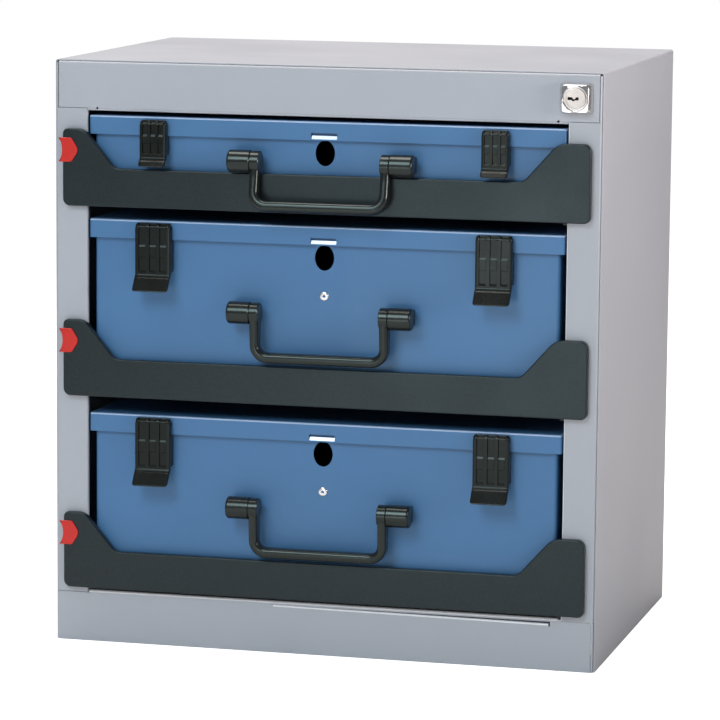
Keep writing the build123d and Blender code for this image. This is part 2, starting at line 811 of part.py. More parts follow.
def make_case_handle(level, lean):
    bail = Plane(origin=(0, pivot_y, handle_axis(level)), x_dir=(1, 0, 0),
                 z_dir=(0, -cos(lean), sin(lean)))
    arm_inner = arm_outer - handle_arm
    grip_top = -handle_drop_to_grip + grip_height / 2
    with BuildPart() as handle:
        with BuildSketch(bail.offset(-handle_depth / 2)) as outer:
            with Locations((0, -bail_reach / 2)):
                Rectangle(2 * arm_outer, bail_reach)
            fillet(outer.vertices().sort_by(Axis.Y)[:2], handle_corner)
        extrude(amount=handle_depth)
        with BuildSketch(bail.offset(-handle_depth / 2)) as inner:
            with Locations((0, grip_top / 2)):
                Rectangle(2 * arm_inner, -grip_top)
            fillet(inner.vertices().sort_by(Axis.Y)[:2], handle_corner - handle_arm)
        extrude(amount=handle_depth, mode=Mode.SUBTRACT)
        flanks = handle.faces().filter_by(bail).sort_by(SortBy.AREA)[-2:]
        long_edges = [e for flank in flanks for e in flank.edges() if e.length > handle_arm + through]
        fillet(long_edges, handle_edge)
        for side in (-1, 1):
            x0, x1 = sorted((side * arm_inner, side * arm_outer))
            rod(x0, x1, pivot_y, handle_axis(level), handle_eye_radius)
            rod(x0 - through, x1 + through, pivot_y, handle_axis(level), pivot_shaft_radius + pivot_gap,
                mode=Mode.SUBTRACT)
    save(handle, level["name"] + "_case_handle")


# ================================================================ latches

def rib_pitch(level):
    return (level["latch_width"] - level["rib_width"]) / 3


def lug_places(level, x):
    """The two outer grooves of a latch, where its hinge lugs stand."""
    return (x - rib_pitch(level), x + rib_pitch(level))


def make_latch(level, side):
    x = side * latch_spacing / 2
    width = level["latch_width"]
    half = width / 2
    pivot_z = level["lid_z"] - level["latch_drop"] - latch_barrel_radius
    hinge_line = front - latch_pivot_out
    face = hinge_line - latch_barrel_radius
    groove = face + latch_rib_height
    back = groove + latch_back
    foot_z = level["lid_z"] - level["latch_drop"] - level["latch_height"]
    bend_z = foot_z + level["latch_flare"]
    skirt_z = level["lid_z"] - lid_skirt - running_gap
    groove_half = (rib_pitch(level) - level["rib_width"]) / 2
    with BuildPart() as latch:
        with BuildSketch(Plane.YZ.offset(x - half)) as profile:
            with BuildLine():
                Polyline((face, pivot_z), (face, bend_z), (face - latch_throw, foot_z),
                         (face - latch_throw + latch_back, foot_z), (back, bend_z),
                         (back, pivot_z), close=True)
            make_face()
            with Locations((hinge_line, pivot_z)):
                Circle(latch_barrel_radius)
        extrude(amount=width)
        for edge in (-1, 1):
            wall = sorted((x + edge * half, x + edge * (half - latch_wall)))
            block(*wall, groove, front - running_gap, skirt_z, pivot_z)
            block(*wall, groove, body_front - running_gap, bend_z, skirt_z)
        for i in (-1, 0, 1):
            centre = x + i * rib_pitch(level)
            groove_span = (centre - groove_half, centre + groove_half)
            ledge_z = pivot_z - level["latch_ledge"]
            block(*groove_span, face - through, groove, ledge_z, pivot_z, mode=Mode.SUBTRACT)
            block(*groove_span, face - through, groove - latch_ledge_height,
                  bend_z + latch_foot_ridge, ledge_z, mode=Mode.SUBTRACT)
        for centre in lug_places(level, x):
            cut_lug_notch(centre, groove_half, hinge_line, pivot_z)
        rod(x - half - through, x + half + through, hinge_line, pivot_z, latch_pin_radius + pivot_gap,
            mode=Mode.SUBTRACT)
    label = level["name"] + ("_latch_left" if side < 0 else "_latch_right")
    save(latch, label)


def cut_lug_notch(centre, half, hinge_line, pivot_z):
    """Frees the barrel round a hinge lug through the latch's whole swing."""
    clear = latch_lug_radius + running_gap
    block(centre - half, centre + half, hinge_line - clear, hinge_line + latch_barrel_radius + through,
          pivot_z - clear, pivot_z + latch_barrel_radius + through, mode=Mode.SUBTRACT)
    block(centre - half, centre + half, hinge_line - latch_barrel_radius - through, hinge_line,
          pivot_z, pivot_z + latch_barrel_radius + through, mode=Mode.SUBTRACT)


def make_latch_hinges(level):
    pivot_z = level["lid_z"] - level["latch_drop"] - latch_barrel_radius
    hinge_line = front - latch_pivot_out
    half = level["latch_width"] / 2
    lug_half = (rib_pitch(level) - level["rib_width"]) / 2 - running_gap
    with BuildPart() as hinges:
        for side in (-1, 1):
            x = side * latch_spacing / 2
            rod(x - half, x + half, hinge_line, pivot_z, latch_pin_radius)
            for centre in lug_places(level, x):
                rod(centre - lug_half, centre + lug_half, hinge_line, pivot_z, latch_lug_radius)
                block(centre - lug_half, centre + lug_half, hinge_line, front,
                      pivot_z - latch_lug_radius, pivot_z + latch_lug_radius)
    save(hinges, level["name"] + "_latch_hinges")


def make_latch_catches(level):
    face = front - latch_pivot_out - latch_barrel_radius
    catch_front = face + latch_rib_height + latch_back + running_gap
    foot_z = level["lid_z"] - level["latch_drop"] - level["latch_height"]
    catch_z = foot_z + level["latch_flare"] + catch_rise
    with BuildPart() as catches:
        for side in (-1, 1):
            x = side * latch_spacing / 2
            block(x - catch_width / 2, x + catch_width / 2, catch_front, body_front,
                  catch_z - catch_height, catch_z)
    save(catches, level["name"] + "_latch_catches")


make_outer_shell()
make_back_panel()
make_floor_pan()
make_plinth()
make_top_fascia()
make_stile(-1, "left_stile")
make_stile(1, "right_stile")
make_slide_supports()
make_slide_outers()
make_lock_housing()
make_lock_barrel()
make_locking_bar()
for level in levels:
    make_slide_middles(level)
    make_slide_runners(level)
    make_tray(level)
    make_front_rail(level)
    make_release_button(level)
    make_button_spring(level)
    make_case_body(level)
    make_case_lid(level)
    make_lid_hinge_pins(level)
    if level["has_rivet"]:
        make_case_rivet(level)
    make_handle_pivots(level)
    make_case_handle(level, bail_lean if level is top else 0.0)
    make_latch(level, -1)
    make_latch(level, 1)
    make_latch_hinges(level)
    make_latch_catches(level)
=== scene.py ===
from cmath import exp, phase
from math import asin, cos, hypot, pi, radians, sin, sqrt, tan

import bmesh
import bpy
from mathutils import Matrix, Vector


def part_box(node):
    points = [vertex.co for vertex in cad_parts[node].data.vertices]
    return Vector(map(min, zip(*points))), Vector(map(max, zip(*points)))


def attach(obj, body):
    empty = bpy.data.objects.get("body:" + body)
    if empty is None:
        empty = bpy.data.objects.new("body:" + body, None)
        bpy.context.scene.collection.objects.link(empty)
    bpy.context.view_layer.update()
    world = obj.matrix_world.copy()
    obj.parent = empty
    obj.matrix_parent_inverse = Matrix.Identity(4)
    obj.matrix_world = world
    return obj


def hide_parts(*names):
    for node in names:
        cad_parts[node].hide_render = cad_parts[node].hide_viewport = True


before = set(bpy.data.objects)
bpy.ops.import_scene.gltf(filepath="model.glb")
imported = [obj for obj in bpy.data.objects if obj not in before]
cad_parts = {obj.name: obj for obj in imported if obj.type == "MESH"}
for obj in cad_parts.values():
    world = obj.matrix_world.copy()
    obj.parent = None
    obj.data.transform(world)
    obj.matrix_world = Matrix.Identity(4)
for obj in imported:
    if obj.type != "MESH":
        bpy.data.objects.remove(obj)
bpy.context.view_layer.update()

# A sheet-steel cabinet with three steel cases, each in a pull-out tray.
# All sizes are in metres: +Z is up and the front faces -Y.


# ---------------------------------------------------------------- camera, floor and light
# A long lens from the right and a little above, as in a catalogue, over a white sweep.
# Two large soft lamps light the front and the top, a third grazes the right side,
# and two low ones lift the black fronts.

picture_side = 720
lens_in_pixels = 3829
camera_place = Vector((0.8810, -3.4487, 0.7651))
camera_yaw, camera_pitch, camera_roll = radians(-14.439), radians(8.256), radians(0.495)
white = (1, 1, 1, 1)

level_ahead = Vector((sin(camera_yaw), cos(camera_yaw), 0))
right = Vector((cos(camera_yaw), -sin(camera_yaw), 0))
ahead = level_ahead * cos(camera_pitch) - Vector((0, 0, sin(camera_pitch)))
above = right.cross(ahead)
right_rolled = right * cos(camera_roll) + above * sin(camera_roll)
above_rolled = above * cos(camera_roll) - right * sin(camera_roll)

lens = bpy.data.cameras.new("catalogue camera")
lens.sensor_width = 36
lens.lens = lens_in_pixels / picture_side * lens.sensor_width
lens.clip_end = 50
camera = bpy.data.objects.new("catalogue camera", lens)
camera.matrix_world = Matrix.Translation(camera_place) @ Matrix(
    (right_rolled, above_rolled, -ahead)).transposed().to_4x4()
bpy.context.scene.collection.objects.link(camera)
bpy.context.scene.camera = camera
bpy.context.scene.view_settings.view_transform = "Standard"


def add_node(tree, kind, links=(), **settings):
    """A node with its settings, and its inputs linked or filled by name or number."""
    node = tree.nodes.new(kind)
    for key, value in settings.items():
        setattr(node, key, value)
    for socket, source in links:
        if isinstance(source, bpy.types.NodeSocket):
            tree.links.new(source, node.inputs[socket])
        else:
            node.inputs[socket].default_value = source
    return node


def add_sum(tree, operation, *values):
    """The result of a sum on numbers or sockets."""
    return add_node(tree, "ShaderNodeMath", enumerate(values), operation=operation).outputs[0]


def make_world(room_light):
    """Plain white to the lens, and a dimmer room to everything else."""
    world = bpy.data.worlds.new("white room")
    bpy.context.scene.world = world
    world.use_nodes = True
    tree = world.node_tree
    tree.nodes.clear()
    room = add_node(tree, "ShaderNodeBackground", [("Color", white), ("Strength", room_light)])
    backdrop = add_node(tree, "ShaderNodeBackground", [("Color", white), ("Strength", 1.0)])
    to_lens = add_node(tree, "ShaderNodeLightPath").outputs["Is Camera Ray"]
    mix = add_node(tree, "ShaderNodeMixShader", [
        (0, to_lens), (1, room.outputs[0]), (2, backdrop.outputs[0])])
    add_node(tree, "ShaderNodeOutputWorld", [("Surface", mix.outputs[0])])


def make_floor(grey, glow, reach):
    """A white sweep that keeps the cabinet's shadow: matt paper that glows to the lens."""
    paper = bpy.data.materials.new("white paper")
    paper.use_nodes = True
    tree = paper.node_tree
    tree.nodes.clear()
    to_lens = add_node(tree, "ShaderNodeLightPath").outputs["Is Camera Ray"]
    matt = add_node(tree, "ShaderNodeBsdfDiffuse", [("Color", (grey, grey, grey, 1))])
    light = add_node(tree, "ShaderNodeEmission", [
        ("Color", white), ("Strength", add_sum(tree, "MULTIPLY", to_lens, glow))])
    both = add_node(tree, "ShaderNodeAddShader", [(0, matt.outputs[0]), (1, light.outputs[0])])
    add_node(tree, "ShaderNodeOutputMaterial", [("Surface", both.outputs[0])])
    mesh = bpy.data.meshes.new("floor")
    mesh.from_pydata([(-reach, -reach, 0), (reach, -reach, 0), (reach, reach, 0),
                      (-reach, reach, 0)], [], [(0, 1, 2, 3)])
    mesh.materials.append(paper)
    floor = bpy.data.objects.new("floor", mesh)
    bpy.context.scene.collection.objects.link(floor)


def add_lamp(name, place, target, size, power, colour):
    lamp = bpy.data.lights.new(name, "AREA")
    lamp.shape = "RECTANGLE"
    lamp.size, lamp.size_y = size
    lamp.energy = power
    lamp.color = colour
    holder = bpy.data.objects.new(name, lamp)
    holder.location = place
    towards = Vector(target) - Vector(place)
    holder.rotation_euler = towards.to_track_quat("-Z", "Y").to_euler()
    bpy.context.scene.collection.objects.link(holder)


make_world(room_light=0.25)
make_floor(grey=0.86, glow=0.82, reach=8.0)
add_lamp("key lamp", place=(-0.65, -2.7, 2.15), target=(0, 0, 0.25), size=(1.2, 1.3),
         power=39, colour=(0.83, 0.935, 1.0))
add_lamp("side lamp", place=(1.25, -0.37, 0.62), target=(0.63, -0.29, 1.41), size=(0.6, 0.5),
         power=15.5, colour=(1.0, 0.85, 0.82))
add_lamp("top lamp", place=(-0.25, 0.3, 2.6), target=(0, 0, 0.5), size=(1.6, 1.6),
         power=61, colour=(1.0, 0.877, 0.83))
add_lamp("low strip", place=(-0.12, -2.9, 0.21), target=(0.15, 0, 0.25), size=(0.85, 0.48),
         power=1.6, colour=(1.0, 1.0, 1.0))
add_lamp("front card", place=(-0.20, -1.8, 0.17), target=(0.15, 0, 0.22), size=(0.40, 0.30),
         power=1.25, colour=(0.92, 0.98, 1.0))


# ---------------------------------------------------------------- finishes that several pieces share
# Paint, moulded plastic and plate all vary a little in tone over a surface,
# and their faces are never quite smooth: these two groups give both.

def make_group(name, inputs, outputs):
    group = bpy.data.node_groups.new(name, "ShaderNodeTree")
    for label, kind, value in inputs:
        socket = group.interface.new_socket(label, in_out="INPUT", socket_type=kind)
        socket.default_value = value
    for label, kind in outputs:
        group.interface.new_socket(label, in_out="OUTPUT", socket_type=kind)
    return group, group.nodes.new("NodeGroupInput"), group.nodes.new("NodeGroupOutput")


def add_noises(tree, *kinds):
    """One noise from 0 to 1 in the piece's own space for each (scale, detail)."""
    space = add_node(tree, "ShaderNodeTexCoord").outputs["Object"]
    return [add_node(tree, "ShaderNodeTexNoise", [
        ("Vector", space), ("Scale", scale), ("Detail", detail)]).outputs["Fac"]
        for scale, detail in kinds]


def make_tone_group():
    """Slow drift and fine speckle of a colour."""
    group, given, result = make_group(
        "tone drift",
        [("Color", "NodeSocketColor", (0.5, 0.5, 0.5, 1)), ("Drift", "NodeSocketFloat", 0.03),
         ("Drift Scale", "NodeSocketFloat", 9.0), ("Speckle", "NodeSocketFloat", 0.02),
         ("Speckle Scale", "NodeSocketFloat", 900.0)],
        [("Color", "NodeSocketColor"), ("Mask", "NodeSocketFloat")])
    wish = given.outputs
    slow, fine = add_noises(group, (wish["Drift Scale"], 3.0), (wish["Speckle Scale"], 2.0))
    slow_part = add_sum(group, "MULTIPLY", add_sum(group, "SUBTRACT", slow, 0.5), wish["Drift"])
    both = add_sum(group, "MULTIPLY_ADD", add_sum(group, "SUBTRACT", fine, 0.5),
                   wish["Speckle"], slow_part)
    factor = add_sum(group, "MULTIPLY_ADD", both, 2.0, 1.0)
    toned = add_node(group, "ShaderNodeVectorMath", [(0, wish["Color"]), ("Scale", factor)],
                     operation="SCALE")
    group.links.new(toned.outputs[0], result.inputs["Color"])
    group.links.new(slow, result.inputs["Mask"])
    return group


def make_skin_group():
    """A normal that ripples like sprayed paint or a grained mould, at two scales."""
    group, given, result = make_group(
        "surface skin",
        [("Scale", "NodeSocketFloat", 500.0), ("Depth", "NodeSocketFloat", 0.00002),
         ("Wave Scale", "NodeSocketFloat", 12.0), ("Wave Depth", "NodeSocketFloat", 0.00005)],
        [("Normal", "NodeSocketVector")])
    wish = given.outputs
    fine, slow = add_noises(group, (wish["Scale"], 2.0), (wish["Wave Scale"], 1.0))
    height = add_sum(group, "MULTIPLY_ADD", slow, wish["Wave Depth"],
                     add_sum(group, "MULTIPLY", fine, wish["Depth"]))
    bump = add_node(group, "ShaderNodeBump", [
        ("Strength", 1.0), ("Distance", 1.0), ("Height", height)])
    group.links.new(bump.outputs[0], result.inputs["Normal"])
    return group


tone_drift = make_tone_group()
surface_skin = make_skin_group()


def make_finish(name, colour, tone, skin, roughness, metallic=0.0, coat=0.0, specular=0.5,
                sheen_colour=(1, 1, 1)):
    """A material: tone gives drift, its scale, speckle and its scale; skin the four skin values."""
    finish = bpy.data.materials.new(name)
    finish.use_nodes = True
    tree = finish.node_tree
    drift = add_node(tree, "ShaderNodeGroup", [
        ("Color", (*colour, 1)), *zip(("Drift", "Drift Scale", "Speckle", "Speckle Scale"), tone)],
        node_tree=tone_drift)
    ripple = add_node(tree, "ShaderNodeGroup", zip(
        ("Scale", "Depth", "Wave Scale", "Wave Depth"), skin), node_tree=surface_skin)
    low, high = roughness
    spread = add_node(tree, "ShaderNodeMapRange", [
        ("Value", drift.outputs["Mask"]), ("From Min", 0.3), ("From Max", 0.7),
        ("To Min", low), ("To Max", high)])
    shader = tree.nodes["Principled BSDF"]
    tree.links.new(drift.outputs["Color"], shader.inputs["Base Color"])
    tree.links.new(ripple.outputs["Normal"], shader.inputs["Normal"])
    tree.links.new(spread.outputs[0], shader.inputs["Roughness"])
    shader.inputs["Metallic"].default_value = metallic
    shader.inputs["Coat Weight"].default_value = coat
    shader.inputs["Specular IOR Level"].default_value = specular
    shader.inputs["Specular Tint"].default_value = (*sheen_colour, 1)
    return finish


# ---------------------------------------------------------------- cabinet sheets
# Folded steel sheet 1.2 mm thick, spot welded and powder coated light blue-grey.
# The shell wraps sides and top; fascia, stiles, plinth and floor pan close the front.

sheet, back_sheet = 0.0012, 0.001
bend = 0.0025  # outer radius of the shell's folds
edge = 0.0002  # how far a cut edge is eased
shell_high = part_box("outer_shell")[1]
half, height = shell_high.x, shell_high.z
inner = half - sheet
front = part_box("plinth")[0].y
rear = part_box("back_panel")[1].y
opening_half = 0.2215
seam = 0.0003  # the gap between two sheets
strip_wide = 0.0018  # the stile's outer fold, which runs up beside the fascia
face_half = inner - strip_wide - 2 * seam
front_flange, side_flange = 0.015, 0.012
stile_foot = 0.0455
fascia_low, fascia_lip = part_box("top_fascia")[0].z, 0.0022
sharp_angle = 38  # faces that meet at a larger angle keep a crisp edge
levels = ("bottom", "middle", "top")

# A far lighter coat on folds that face the light: a painted highlight.
fold_painted_highlight = make_finish(
    "painted highlight on the folds", (0.86, 0.87, 0.90), tone=(0.06, 30.0, 0.04, 1500.0),
    skin=(900.0, 0.000012, 9.0, 0.00006), roughness=(0.34, 0.44))
cabinet_paint = make_finish(
    "cabinet powder coat", (0.435, 0.468, 0.515), tone=(0.05, 7.0, 0.03, 1500.0),
    skin=(900.0, 0.000012, 9.0, 0.00006), roughness=(0.40, 0.52))


def points(*pairs):
    """Points of a flat outline, held as complex numbers."""
    return [complex(*pair) for pair in pairs]


def rectangle(x0, z0, x1, z1):
    return points((x0, z0), (x1, z0), (x1, z1), (x0, z1))


def unit(step):
    return step / abs(step)


def fold(path, thick, radius, steps=4):
    """Outline of a folded sheet: path is one face, and the sheet lies to its left."""
    face = [path[0]]
    back = [path[0] + 1j * unit(path[1] - path[0]) * thick]
    for last, here, following in zip(path, path[1:], path[2:]):
        come, go = unit(here - last), unit(following - here)
        turn = phase(go / come)
        side = 1 if turn > 0 else -1
        near, far = (radius, radius - thick) if turn > 0 else (radius - thick, radius)
        start = here - come * near * tan(abs(turn) / 2)
        centre = start + 1j * come * side * near
        for k in range(steps + 1):
            spoke = (start - centre) * exp(1j * turn * k / steps)
            face.append(centre + spoke)
            back.append(centre + spoke * far / near)
    face.append(path[-1])
    back.append(path[-1] + 1j * unit(path[-1] - path[-2]) * thick)
    return face + back[::-1]


def rounded(corners, radii, steps=5):
    """Outline with a radius at each corner, in the order of the corners."""
    if not isinstance(radii, (list, tuple)):
        radii = [radii] * len(corners)
    outline = []
    for i, (here, radius) in enumerate(zip(corners, radii)):
        come = unit(here - corners[i - 1])
        go = unit(corners[(i + 1) % len(corners)] - here)
        turn = phase(go / come)
        side = 1 if turn > 0 else -1
        start = here - come * radius * tan(abs(turn) / 2)
        centre = start + 1j * come * side * radius
        outline += [centre + (start - centre) * exp(1j * turn * k / steps)
                    for k in range(steps + 1)]
    return outline


def inset(outline, amount):
    """The outline moved inwards, where inwards is to the left of its run."""
    if not amount:
        return list(outline)
    least_cosine = 0.3
    moved = []
    for i, here in enumerate(outline):
        come = unit(here - outline[i - 1])
        go = unit(outline[(i + 1) % len(outline)] - here)
        normal = unit(1j * (come + go))
        moved.append(here + normal * amount / max((normal / (1j * come)).real, least_cosine))
    return moved


def anticlockwise(outline):
    area = sum((a.conjugate() * b).imag for a, b in zip(outline, outline[1:] + outline[:1]))
    return outline if area > 0 else outline[::-1]


def from_front(point, depth):
    return (point.real, depth, point.imag)


def from_side(point, depth):
    return (depth, point.real, point.imag)


def from_above(point, depth):
    return (point.real, point.imag, depth)


def stack(bm, rings, capped=True):
    """Joins rings of equal count into one skin, closed at both ends if capped."""
    rows = [[bm.verts.new(p) for p in ring] for ring in rings]
    count = len(rows[0])
    for a, b in zip(rows, rows[1:]):
        for i in range(count):
            j = (i + 1) % count
            bm.faces.new((a[i], a[j], b[j], b[i]))
    if capped:
        bm.faces.new(rows[0][::-1])
        bm.faces.new(rows[-1])


def layers(bm, outline, steps, place=from_front):
    """Stacks insets of one outline: steps are (inset, depth) pairs."""
    outline = anticlockwise(outline)
    stack(bm, [[place(p, depth) for p in inset(outline, amount)] for amount, depth in steps])


def sheet_run(bm, outline, low, high, place=from_front, ease=edge):
    """A sheet or plate of one outline from low to high, with its cut ends eased."""
    layers(bm, outline, [(ease, low), (0, low + ease), (0, high - ease), (ease, high)], place)


def slab(bm, across, deep, upright, ease=edge):
    """A plate with eased edges, between two values of x, of y and of z."""
    outline = rounded(rectangle(across[0], upright[0], across[1], upright[1]), ease * 2, 2)
    sheet_run(bm, outline, *deep, ease=ease)


def lathe(bm, centre, along, profile, steps=32):
    """A turned form: profile is (radius, place along the axis) pairs from end to end."""
    rings = []
    for radius, place in profile:
        ring = []
        for k in range(steps):
            a, b = radius * cos(2 * pi * k / steps), radius * sin(2 * pi * k / steps)
            ring.append({"x": (place, a, b), "y": (a, place, b), "z": (a, b, place)}[along])
        rings.append([centre + Vector(p) for p in ring])
    stack(bm, rings)


def both_ways(middle, reach):
    """The two values that lie a reach below and above a middle."""
    return middle - reach, middle + reach


def on_side(side, a, b):
    """The two x values of a stretch on the side -1 or 1, the lower first."""
    return sorted((side * a, side * b))


def make_piece(name, bm, finish, body, slot, *nodes, sharp=sharp_angle):
    """Turns a finished mesh into a piece that rides on its body and stands for its nodes."""
    bmesh.ops.recalc_face_normals(bm, faces=bm.faces)
    mesh = bpy.data.meshes.new(name)
    bm.to_mesh(mesh)
    bm.free()
    mesh.materials.append(finish)
    mesh.shade_smooth()
    mesh.set_sharp_from_angle(angle=radians(sharp))
    piece = bpy.data.objects.new(name, mesh)
    bpy.context.scene.collection.objects.link(piece)
    even = piece.modifiers.new("even normals", "WEIGHTED_NORMAL")
    even.keep_sharp = True
    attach(piece, body)
    if nodes:
        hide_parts(*nodes)
    return piece


def cabinet_piece(name, bm, *nodes):
    return make_piece(name, bm, cabinet_paint, "cabinet", "cabinet_paint", *nodes)


def cut(piece, cutter):
    """Cuts the solid in cutter out of the piece."""
    mesh = bpy.data.meshes.new("cutter")
    bmesh.ops.recalc_face_normals(cutter, faces=cutter.faces)
    cutter.to_mesh(mesh)
    cutter.free()
    tool = bpy.data.objects.new("cutter", mesh)
    bpy.context.scene.collection.objects.link(tool)
    work = piece.modifiers.new("cut", "BOOLEAN")
    work.operation, work.solver, work.object = "DIFFERENCE", "EXACT", tool
    even = piece.modifiers["even normals"]
    even.show_viewport = False
    shaped = bpy.data.meshes.new_from_object(
        piece.evaluated_get(bpy.context.evaluated_depsgraph_get()))
    even.show_viewport = True
    piece.modifiers.remove(work)
    shaped.name = piece.data.name
    piece.data = shaped
    shaped.shade_smooth()
    shaped.set_sharp_from_angle(angle=radians(sharp_angle))
    bpy.data.objects.remove(tool)


def refinish(piece, finish, chosen):
    """Gives a second finish to the faces whose centre and normal are chosen."""
    piece.data.materials.append(finish)
    for part_face in piece.data.polygons:
        if chosen(part_face.center, part_face.normal):
            part_face.material_index = 1


def dress(node, finish):
    """A node that keeps the frame's own shape takes a finish."""
    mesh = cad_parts[node].data
    mesh.materials.clear()
    mesh.materials.append(finish)


def make_shell():
    bm = bmesh.new()
    set_back, foot = 0.0022, 0.015
    shell_front, shell_rear = front + set_back, rear - back_sheet
    wrap = fold(points((half, 0), (half, height), (-half, height), (-half, 0)), sheet, bend, 6)
    sheet_run(bm, wrap, shell_front, shell_rear)
    for side in (-1, 1):
        slab(bm, on_side(side, inner - foot, inner + edge), (shell_front, shell_rear), (0, sheet))
        slab(bm, on_side(side, inner - side_flange, inner + edge), (shell_rear - sheet, shell_rear),
             (sheet, height - sheet))
    slab(bm, both_ways(0, inner - side_flange), (shell_rear - sheet, shell_rear),
         (height - sheet - side_flange, height - sheet + edge))
    cabinet_piece("shell_wrap", bm, "outer_shell")


def make_back():
    bm = bmesh.new()
    sheet_run(bm, rounded(rectangle(-half, 0, half, height), bend, 4), rear - back_sheet, rear)
    cabinet_piece("rear_sheet", bm, "back_panel")


def make_plinth():
    """A face sheet under a folded lip; a slit opens between them to the right."""
    top, outer, foot_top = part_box("plinth")[1].z, inner - seam, stile_foot - seam
    lip_left, lip_right, lip_low, lip_radius = -0.2205, 0.2190, 0.0444, 0.0023
    slit_left, slit_right, slit_tall, notch = -0.045, 0.212, 0.0019, 0.0040
    roll_right, roll_drop = slit_right - 0.0015, 0.0018
    roll_deep, roll_tall, roll_radius, roll_out = 0.005, 0.0028, 0.0017, edge / 5
    bm = bmesh.new()
    lip = fold(points((front + front_flange, top), (front, top), (front, lip_low)),
               sheet, lip_radius, 6)
    sheet_run(bm, lip, lip_left, lip_right, from_side)

    # the face, cut away under the slit, and the fold that closes its upper edge there
    under_lip = lip_low - edge / 2
    face = points(
        (-outer, 0), (face_half, 0), (face_half, foot_top), (lip_right, foot_top),
        (lip_right, under_lip), (slit_right, under_lip), (slit_right, lip_low - notch),
        (roll_right, lip_low - notch), (roll_right, lip_low - slit_tall - roll_drop),
        (slit_left, lip_low - roll_drop), (slit_left, under_lip), (lip_left, under_lip),
        (lip_left, foot_top), (-outer, foot_top))
    foot_corner, corner = 0.002, 0.0003
    layers(bm, rounded(face, [foot_corner] + [corner] * (len(face) - 1), 3),
           [(edge, front), (0, front + edge), (0, front + sheet)])
    roll = fold(points((front + roll_deep, 0), (front - roll_out, 0),
                       (front - roll_out, -roll_tall)), sheet, roll_radius, 6)
    stack(bm, [[from_side(p + 1j * z, x) for p in roll]
               for x, z in ((slit_left, lip_low), (roll_right, lip_low - slit_tall))])

    # the welds that join lip and face beside the slit, and a backing strip behind it
    weld_low, weld_high, weld_out = lip_low - 0.0016, lip_low + 0.0012, edge / 8
    for weld in ((lip_left, slit_left), (slit_right + edge, lip_right)):
        slab(bm, weld, (front - weld_out, front + sheet), (weld_low, weld_high))
    backing, backing_thick, backing_right = front + 0.008, 0.001, slit_right + 0.002
    slab(bm, (slit_left, backing_right), (backing, backing + backing_thick),
         (lip_low - 0.006, lip_low + 0.001))

    # the left edge's return, the right corner bar and the foot flange
    slab(bm, (-outer, -outer + sheet), (front + edge, front + front_flange), (0, foot_top))
    slab(bm, (face_half + seam, outer), (front, front + front_flange), (0, foot_top), edge * 2)
    slab(bm, both_ways(0, inner - front_flange), (front + edge, front + front_flange), (0, sheet))

    def fold_highlight_faces(spot, way):
        """Faces that look both up and forward, on the lip's fold or on the slit's: they take a painted
        highlight.
        """
        lean, on_lip = 0.05, spot.z > lip_low + 0.001
        in_slit = slit_left < spot.x < roll_right and spot.z > lip_low - notch
        return way.z > lean and way.y < -lean and (on_lip or in_slit)

    # the lip's fold and the slit's take the lighter coat where they face up and forward: a painted
    # highlight
    refinish(cabinet_piece("plinth_front", bm, "plinth"), fold_painted_highlight, fold_highlight_faces)


def make_floor_sheet():
    low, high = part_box("floor_pan")
    bm = bmesh.new()
    pan = fold(points((high.y, low.z), (high.y, high.z), (low.y, high.z)), sheet, bend)
    sheet_run(bm, pan, low.x, high.x, from_side)
    cabinet_piece("floor_sheet", bm, "floor_pan")


def make_fascia():
    """Folded fascia; a lip over the opening hangs between its two round reliefs."""
    face_top, lip_top = height - sheet - seam, fascia_low + fascia_lip
    face_radius, lip_radius = 0.0018, 0.0014
    bm = bmesh.new()
    run = fold(points((front + front_flange, face_top), (front, face_top),
                      (front, lip_top + edge / 2)), sheet, face_radius, 6)
    sheet_run(bm, run, -face_half, face_half, from_side)
    fascia = cabinet_piece("fascia_front", bm, "top_fascia")
    bm = bmesh.new()
    lip = fold(points((front, lip_top), (front, fascia_low), (front + front_flange, fascia_low)),
               sheet, lip_radius)
    sheet_run(bm, lip, -opening_half, opening_half, from_side)
    lip_piece = cabinet_piece("fascia_lip", bm)
    relief_x, relief_radius, relief_deep = opening_half - 0.0092, 0.0011, 0.002
    for sheet_piece in (fascia, lip_piece):
        for side in (-1, 1):
            relief = bmesh.new()
            lathe(relief, Vector((side * relief_x, front, lip_top)), "y",
                  [(relief_radius, -relief_deep), (relief_radius, relief_deep)], 16)
            cut(sheet_piece, relief)


def middle_of(node):
    return [(a + b) / 2 for a, b in zip(*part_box(node))]


